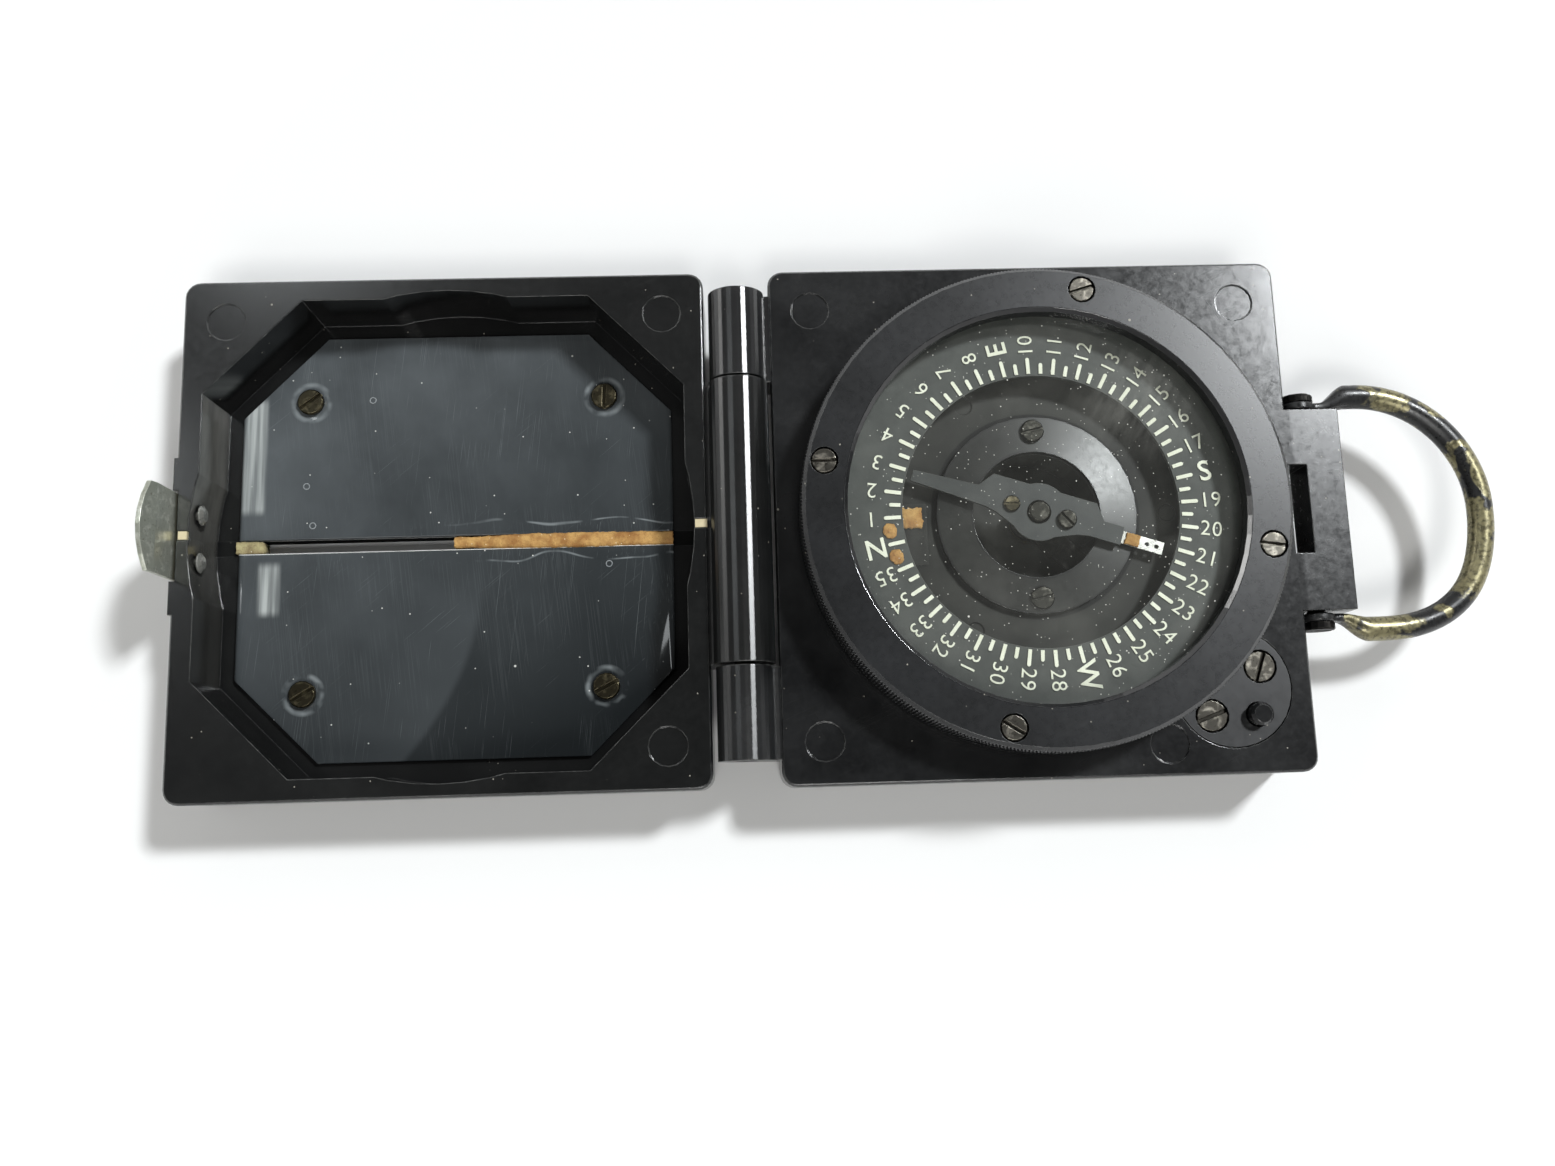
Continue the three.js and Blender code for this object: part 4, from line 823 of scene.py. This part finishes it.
runs = {
    "stripPaste": {"node": "compound_strip", "span": (-0.35, 32.5), "half": (0.8, 1.14, 1.0), "low": 2.5, "edge": 3.26,
                   "crown": 0.42, "grit": 0.09},
    "plugPaste": {"node": "slit_plug", "span": (-32.9, -28.9), "half": (0.9, 0.9, 0.9), "low": 0.4, "edge": 3.05,
                  "crown": 0.15, "grit": 0.05},
}
dot = {"body": "bezel", "reach": 21.9, "half": (1.05, 1.05), "low": 16.52, "edge": 16.57, "crown": 0.15, "square": 0.0,
       "ragged": 0.3}
patches = {
    "indexPaste": {"node": "index_patch", "body": "base", "reach": 18.05, "bearing": 180.0, "half": (1.5, 1.5),
                   "low": 12.5, "edge": 12.72, "crown": 0.16, "square": 1.0, "ragged": 0.4},
    "dotPaste1": dict(dot, node="dial_dot_1", bearing=180.0 + bezelTurn + 5),
    "dotPaste2": dict(dot, node="dial_dot_2", bearing=180.0 + bezelTurn - 5),
    "needlePaste": {"node": "needle_patch", "body": "needle", "reach": 14.05, "bearing": -18.0, "half": (1.0, 0.85),
                    "low": 14.4, "edge": 14.6, "crown": 0.1, "square": 1.0, "ragged": 0.3},
}
# unevenness of the compound: how much, and mm from lump to lump
crumble = {
    "sides": (0.1, 1.3), "nicks": (0.08, 0.4), "sway": (0.08, 2.5), "ends": (0.4, 0.5), "crown": (0.5, 1.6),
    "grit": (1.0, 0.3), "fineGrit": (0.6, 0.14),
    "patchRim": (0.7, 0.8), "patchNicks": (0.35, 0.3), "patchCrown": (0.6, 0.8),
    "patchGrit": (0.035, 0.25), "patchFineGrit": (0.035, 0.12),
}


def uneven(kind, x, y, seed=0.0):
    share, size = crumble[kind]
    return share * lump(x, y, size, seed)


def makeRun(name, size, finish):
    across = 14
    along = 190
    widens, narrows, crumbled = (0, 0.45), (0.6, 1), 0.03  # shares of the length
    start, end = size["span"]
    first, middle, last = size["half"]
    top = []
    for i in range(along + 1):
        t = i / along
        x = start + t * (end - start)
        half = first + (middle - first) * smoothStep(*widens, t) + (last - middle) * smoothStep(*narrows, t)
        half *= 1 + uneven("sides", x, 0) + uneven("nicks", x, 3)
        nearEnd = smoothStep(crumbled, 0, t) + smoothStep(1 - crumbled, 1, t)
        row = []
        for j in range(across + 1):
            v = 2 * j / across - 1
            y = v * half + uneven("sway", x, 7)
            ragged = uneven("ends", y, 5) * nearEnd
            crown = size["crown"] * math.sqrt(1 - abs(v) ** 3) * (1 + uneven("crown", x, y, 2))
            grit = size["grit"] * (uneven("grit", x, y, 4) + uneven("fineGrit", x, y, 6))
            row.append((lidX + x + ragged, y, size["edge"] + crown + grit))
        top.append(row)
    piece = placePiece(name, gridSolid(name, top, low=size["low"]), finish, "lid", smooth=True)
    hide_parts(size["node"])


def makePatch(name, size, finish):
    steps = 22
    turned = Matrix.Rotation(math.radians(size["bearing"]), 4, "Z")
    halfX, halfY = size["half"]
    top = []
    for i in range(steps + 1):
        row = []
        for j in range(steps + 1):
            u = 2 * i / steps - 1
            v = 2 * j / steps - 1
            roundX = u * math.sqrt(1 - v * v / 2)
            roundY = v * math.sqrt(1 - u * u / 2)
            x = (roundX + (u - roundX) * size["square"]) * halfX
            y = (roundY + (v - roundY) * size["square"]) * halfY
            edge = max(abs(u), abs(v))
            wander = uneven("patchRim", x, y, size["reach"]) + uneven("patchNicks", x, y, size["low"])
            swell = 1 + edge * size["ragged"] * wander
            spot = turned @ Vector((size["reach"] + x * swell, y * swell, 0))
            crown = size["crown"] * math.sqrt(1 - edge ** 4) * (1 + uneven("patchCrown", x, y, 2))
            grit = uneven("patchGrit", x, y, 4) + uneven("patchFineGrit", x, y, 6)
            row.append((spot.x, spot.y, size["edge"] + crown + grit))
        top.append(row)
    piece = placePiece(name, gridSolid(name, top, low=size["low"]), finish, size["body"], smooth=True)
    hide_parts(size["node"])


for pieceName, size in runs.items():
    makeRun(pieceName, size, paste if pieceName == "stripPaste" else agedPaste)
for pieceName, size in patches.items():
    makePatch(pieceName, size, brightPaste if pieceName == "indexPaste" else paste)
print("compound laid")


# celluloid: two thin sheets that have buckled a little with age

sheet = {
    "half": 32.5, "flat": 19.93, "slit": 1.0, "top": 3.3, "thick": 0.7, "lip": 0.22,
    "wave": 0.04, "waveSize": 11.0, "ripple": 0.003, "rippleSize": 3.5,
    "screw": 22.3, "dimple": 0.09, "dimpleRim": (1.5, 3.4),
    # the right edge has lifted towards its lower corner
    "curlFrom": 25.0, "curlRun": 7.5, "curlRise": 0.5, "curlSlope": 0.07, "curlTop": (-4.0, -11.0),
    "curlSteep": -9.0, "curlEnd": (-20.0, -27.0),
    "ridge": 0.1, "ridgeAt": 1.9, "ridgeWidth": 0.8, "ridgeSize": 4.0, "ridgeLeast": 0.4,  # beside the strip
    "paleEdge": 0.8,  # share of the lip that shows its cut, painted pale as the glint along the slit
    "columns": 150, "rows": 62, "edgeRows": [0.0, 0.03, 0.08, 0.15, 0.25, 0.45, 0.75, 1.1],  # mm in from an edge
}


def sheetHeight(x, y, size):
    z = size["top"] + size["wave"] * lump(x, y, size["waveSize"], 1)
    z += size["ripple"] * lump(x, y, size["rippleSize"], 2)
    away = math.hypot(abs(x) - size["screw"], abs(y) - size["screw"])
    z -= size["dimple"] * (1 - smoothStep(*size["dimpleRim"], away))
    curl = max((x - size["curlFrom"]) / size["curlRun"], 0.0) ** 3
    rise = size["curlRise"] * smoothStep(*size["curlTop"], y) + size["curlSlope"] * max(size["curlSteep"] - y, 0.0)
    z += curl * rise * (1 - smoothStep(*size["curlEnd"], y))
    ridge = size["ridge"] * math.exp(-((abs(y) - size["ridgeAt"]) / size["ridgeWidth"]) ** 2)
    return z + ridge * (size["ridgeLeast"] + lump(x, math.copysign(2, y), size["ridgeSize"], 3))


def makeSheet(name, node, side, size):
    columns, rows, edges, lip = size["columns"], size["rows"], size["edgeRows"], size["lip"]
    top = []
    for i in range(columns + 1):
        x = size["half"] * (2 * i / columns - 1)
        end = min(size["half"], size["half"] + size["flat"] - abs(x))
        reach = end - size["slit"]
        inner = [edges[-1] + (reach - 2 * edges[-1]) * k / rows for k in range(1, rows)]
        row = []
        for step in edges + inner + [reach - e for e in reversed(edges)]:
            y = side * (size["slit"] + step)
            near = min(step, reach - step, size["half"] - abs(x))
            drop = lip * (1 - math.sqrt(1 - (1 - min(near / lip, 1)) ** 2))
            row.append((lidX + x, y, sheetHeight(x, y, size) - drop))
        top.append(row)
    mesh = gridSolid(name, top, thick=size["thick"])
    piece = placePiece(name, mesh, celluloid, "lid", smooth=True)
    mesh.materials.append(cutEdgeGleam)
    for face in mesh.polygons:  # the front sheet's cut edge along the slit is painted pale, as its cut and as a painted glint
        if -size["slit"] - lip * size["paleEdge"] < face.center.y / mm < 0 and face.normal.z > 0:
            face.material_index = 1
    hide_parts(node)


# small bubbles under the sheet show as pale rings
bubbles = {
    "places": [(-22.7, 9.2), (-21.6, 3.1), (22.8, -3.8), (-13.0, 22.5)],  # mm from the lid's middle
    "ring": 0.45, "line": 0.09, "proud": 0.3, "squat": 0.5, "steps": 24, "sides": 8,
}


def makeBubbles(name, size):
    build = bmesh.new()
    for x, y in size["places"]:
        loops = []
        for c, s in aroundCircle(size["steps"]):
            loop = []
            for leanC, leanS in aroundCircle(size["sides"]):
                radius = size["ring"] + size["line"] * leanC
                height = sheetHeight(x, y, sheet) + size["line"] * (size["proud"] + size["squat"] * leanS)
                loop.append(build.verts.new(Vector((lidX + x + radius * c, y + radius * s, height)) * mm))
            loops.append(loop)
        skinLoops(build, loops)
    placePiece(name, meshOf(name, build, outward=True), bubbleRim, "lid", smooth=True)


makeBubbles("celluloidBubbles", bubbles)
makeSheet("celluloidBack", "celluloid_back", 1, sheet)
makeSheet("celluloidFront", "celluloid_front", -1, sheet)
print("celluloid laid")


# knurling round the bezel: fine upright ribs on the ring and on its cover

knurl = {
    "ribs": 430, "root": 34.3, "crest": 34.56,
    "shape": (0.0, 1.0, 0.75),  # height of a rib at its three steps
    "bands": {"knurlRing": (14.0, 18.7), "knurlCover": (19.0, 20.75)},
}


def makeKnurl(name, low, high, size):
    build = bmesh.new()
    lead = size["crest"] - size["root"]
    profile = [(0, low), (1, low + lead), (1, high - lead), (0, high), (-1, high), (-1, low)]  # share of rib, height
    steps = len(size["shape"])
    rings = []
    for i, (c, s) in enumerate(aroundCircle(size["ribs"] * steps)):
        ring = []
        for share, z in profile:
            rib = size["shape"][i % steps] if share > 0 else 1.0
            radius = size["root"] + lead * rib * share
            ring.append(build.verts.new(Vector((radius * c, radius * s, z)) * mm))
        rings.append(ring)
    skinLoops(build, rings)
    placePiece(name, meshOf(name, build, outward=True), mouldedSatin, "bezel")


for bandName, (low, high) in knurl["bands"].items():
    makeKnurl(bandName, low, high, knurl)
print("bezel knurled")


# thumb ring: round wire, drawn flat where it meets the pivot eyes

bail = {
    "pivot": (41.0, 10.0), "wire": 1.8, "half": 17.6, "reach": 26.16, "straight": 9.0, "square": 0.84, "bend": (20, 44),
    "eye": 2.5, "eyeHole": 1.4, "eyeFaces": (15.3, 16.5), "eyeSoft": 0.2,
    "strap": 1.3, "start": 1.7, "flatEnd": 3.0, "roundFrom": 7.5,
    "straightSteps": 20, "ovalSteps": 60, "sides": 24, "eyeSides": 40,
}


# middle of the wire and its heading, from one pivot round to the other: two straights and half an oval
def bailPath(size):
    deep = size["reach"] - size["straight"]
    count = size["straightSteps"]
    spots = [size["start"] + (size["straight"] - size["start"]) * i / count for i in range(count)]
    oval = []
    for i in range(size["ovalSteps"] + 1):
        angle = math.pi * i / size["ovalSteps"]
        power = 1 - (1 - size["square"]) * smoothStep(*size["bend"], i)  # the lower bend is squarer
        away = size["straight"] + deep * raised(math.sin(angle), power)
        oval.append(Vector((away, size["half"] * raised(math.cos(angle), power), 0)))
    path = [(Vector((x, size["half"], 0)), Vector((1, 0, 0))) for x in spots]
    for before, spot, after in zip(oval[:1] + oval, oval, oval[1:] + oval[-1:]):
        path.append((spot, (after - before).normalized()))
    return path + [(Vector((x, -size["half"], 0)), Vector((-1, 0, 0))) for x in reversed(spots)]


def makeBail(name, node, size):
    build = bmesh.new()
    pivotX, pivotZ = size["pivot"]
    near, far = size["eyeFaces"]
    eyeMiddle = (near + far) / 2
    eyeHalf = (far - near) / 2
    rings = []
    for spot, heading in bailPath(size):
        wired = smoothStep(size["flatEnd"], size["roundFrom"], spot.x)
        side = math.copysign(1, spot.y) if abs(spot.y) > 0.1 else 0
        shift = side * (eyeMiddle - size["half"]) * (1 - wired)
        middle = spot + Vector((pivotX, shift, pivotZ))
        across = eyeHalf + (size["wire"] - eyeHalf) * wired
        upright = size["strap"] + (size["wire"] - size["strap"]) * wired
        power = 2 / (6 - 4 * wired)  # boxy strap to round wire
        outward = Vector((heading.y, -heading.x, 0))
        ring = []
        for c, s in aroundCircle(size["sides"]):
            place = middle + outward * (across * raised(c, power)) + Vector((0, 0, upright * raised(s, power)))
            ring.append(build.verts.new(place * mm))
        rings.append(ring)
    skinLoops(build, rings, capped=True)
    hole, eye, soft = size["eyeHole"], size["eye"], size["eyeSoft"]
    profile = [(hole, near), (eye - soft, near), (eye, near + soft), (eye, far - soft), (eye - soft, far), (hole, far)]
    for side in (1, -1):
        skinLoops(build, [[build.verts.new(Vector((pivotX + r * c, side * y, pivotZ + r * s)) * mm) for r, y in profile]
                          for c, s in aroundCircle(size["eyeSides"])])
    piece = placePiece(name, meshOf(name, build, outward=True), lacquered, "thumb_ring", smooth=True)
    roundOff(piece)
    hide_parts(node)


makeBail("thumbBail", "thumb_ring", bail)
print("thumb ring bent")


# spring under the lever: round wire wound over the spring part's height

coil = {
    "node": "plunger_spring", "joint": "plunger_press", "keep": 0.5,
    "wire": 0.2, "turns": 4, "steps": 36, "sides": 12,
}


def makeCoil(name, size):
    low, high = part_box(size["node"])  # metres
    middle = (low + high) / 2
    wire = size["wire"] * mm
    radius = (high.x - low.x) / 2 - wire
    count = size["turns"] * size["steps"]
    build = bmesh.new()
    rings = []
    for i in range(count + 1):
        turn = 2 * math.pi * i / size["steps"]
        outward = Vector((math.cos(turn), math.sin(turn), 0))
        height = low.z + wire + (high.z - low.z - 2 * wire) * i / count
        spot = Vector((middle.x, middle.y, height)) + outward * radius
        rings.append([build.verts.new(spot + outward * (wire * c) + Vector((0, 0, wire * s)))
                      for c, s in aroundCircle(size["sides"])])
    skinLoops(build, rings, capped=True)
    piece = placePiece(name, meshOf(name, build, outward=True), steel, "base", smooth=True)
    roundOff(piece)
    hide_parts(size["node"])
    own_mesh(piece)


makeCoil("springCoil", coil)
print("spring wound")


# table and studio light

tableLook = {
    "tone": (0.84, 0.84, 0.835),
    "half": 4.0, "cells": 8, "drop": 0.05,  # m, and mm below the compass
    "glow": (0.02, 0.95), "glowReach": (0.1, 0.3),  # m from the hinge, the paper pales to white
}


def makeTable(look):
    build = bmesh.new()
    bmesh.ops.create_grid(build, x_segments=look["cells"], y_segments=look["cells"], size=look["half"])
    table = putInScene("table", meshOf("table", build))
    table.location = (hingeX * mm, 0, -look["drop"] * mm)
    finish, tree = blankFinish("tablePaper")
    path = addNode(tree, "LightPath")
    seen = strongest([path.outputs[f"Is {ray} Ray"] for ray in ("Camera", "Glossy", "Transmission")])
    away = steer("LENGTH", addNode(tree, "TexCoord").outputs["Object"])
    level = band(away, *look["glowReach"], *look["glow"])
    paper = addNode(tree, "BsdfDiffuse", {"Color": (*look["tone"], 1)})
    glow = addNode(tree, "Emission", {"Strength": times(seen, level)})
    both = addNode(tree, "AddShader", {0: paper.outputs[0], 1: glow.outputs[0]})
    addNode(tree, "OutputMaterial", {"Surface": both.outputs[0]})
    table.data.materials.append(finish)


# places, aims and sizes in mm
studioAim = (-40, 0, 10)
lampWhite = (1.0, 1.0, 0.98)
dayWhite = (0.97, 1.0, 1.02)
skyWhite = (0.95, 1.0, 1.02)
lamps = {
    "key": {"place": (2400, 2040, 4000), "size": (640, 640), "power": 232.0, "tone": dayWhite, "gloss": False},
    "front": {"place": (60, -600, 1000), "size": (260, 260), "power": 3.4},
    "fill": {"place": (-250, -800, 900), "size": (500, 500), "power": 2.7},
    "back": {"place": (-40, 380, 420), "size": (600, 200), "power": 0.25, "tone": (1.0, 1.0, 1.0)},
    "left": {"place": (-600, 120, 330), "aim": (-80, 0, 5), "size": (500, 500), "power": 0.4, "gloss": False},
}
# white cards that only show as gleams
cards = {
    "windowCard": {"place": (-980, 620, 390), "aim": (20, -10, 20), "size": (800, 130), "power": 1.7},
    "keyCard": {"place": (2470, 1835, 4000), "size": (640, 640), "power": 198.0, "tone": dayWhite},
    "cornerCard": {"place": (-480, 560, 1000), "aim": (-105, 35, 13), "size": (160, 160), "power": 0.5,
                   "tone": skyWhite},
    "leftCard": {"place": (-653, 275, 1000), "aim": (-53, -15, 4), "size": (150, 150), "power": 0.35,
                 "tone": skyWhite},
}


def lightStudio(setups, isCard=False):
    for name, setup in setups.items():
        data = bpy.data.lights.new(name, "AREA")
        data.shape = "RECTANGLE"
        data.size, data.size_y = [side * mm for side in setup["size"]]
        data.energy = setup["power"]
        data.color = setup.get("tone", lampWhite)
        lamp = putInScene(name, data)
        lamp.location = Vector(setup["place"]) * mm
        aim = Vector(setup.get("aim", studioAim)) - Vector(setup["place"])
        lamp.rotation_euler = aim.to_track_quat("-Z", "Y").to_euler()
        lamp.visible_camera = False
        lamp.visible_diffuse = not isCard
        lamp.visible_glossy = setup.get("gloss", True)


skyLook = {
    "fill": 0.072,  # light on matt faces
    "zenith": 0.024, "ring": 0.136, "low": 0.8,  # what gleams show
    "darkFrom": (0.93, 0.992), "whiteFrom": (0.5, 0.06),  # heights as sines
}


def setSky(look):
    world = bpy.data.worlds.new("studioSky")
    world.use_nodes = True
    tree = world.node_tree
    tree.nodes.clear()
    height = axes(tree, addNode(tree, "TexCoord").outputs["Generated"])[2]
    path = addNode(tree, "LightPath")
    mirrored = reckon("MAXIMUM", path.outputs["Is Glossy Ray"], path.outputs["Is Transmission Ray"])
    outer = band(height, *look["whiteFrom"], look["ring"], look["low"])
    dark = band(height, *look["darkFrom"], 0.0, look["ring"] - look["zenith"])
    level = blendValue(mirrored, look["fill"], reckon("SUBTRACT", outer, dark))
    level = reckon("MAXIMUM", level, path.outputs["Is Camera Ray"])  # plain white behind the table
    back = addNode(tree, "Background", {"Color": (1, 1, 1, 1), "Strength": level})
    addNode(tree, "OutputWorld", {"Surface": back.outputs[0]})
    bpy.context.scene.world = world


makeTable(tableLook)
lightStudio(lamps)
lightStudio(cards, isCard=True)
setSky(skyLook)
print("table and light set")
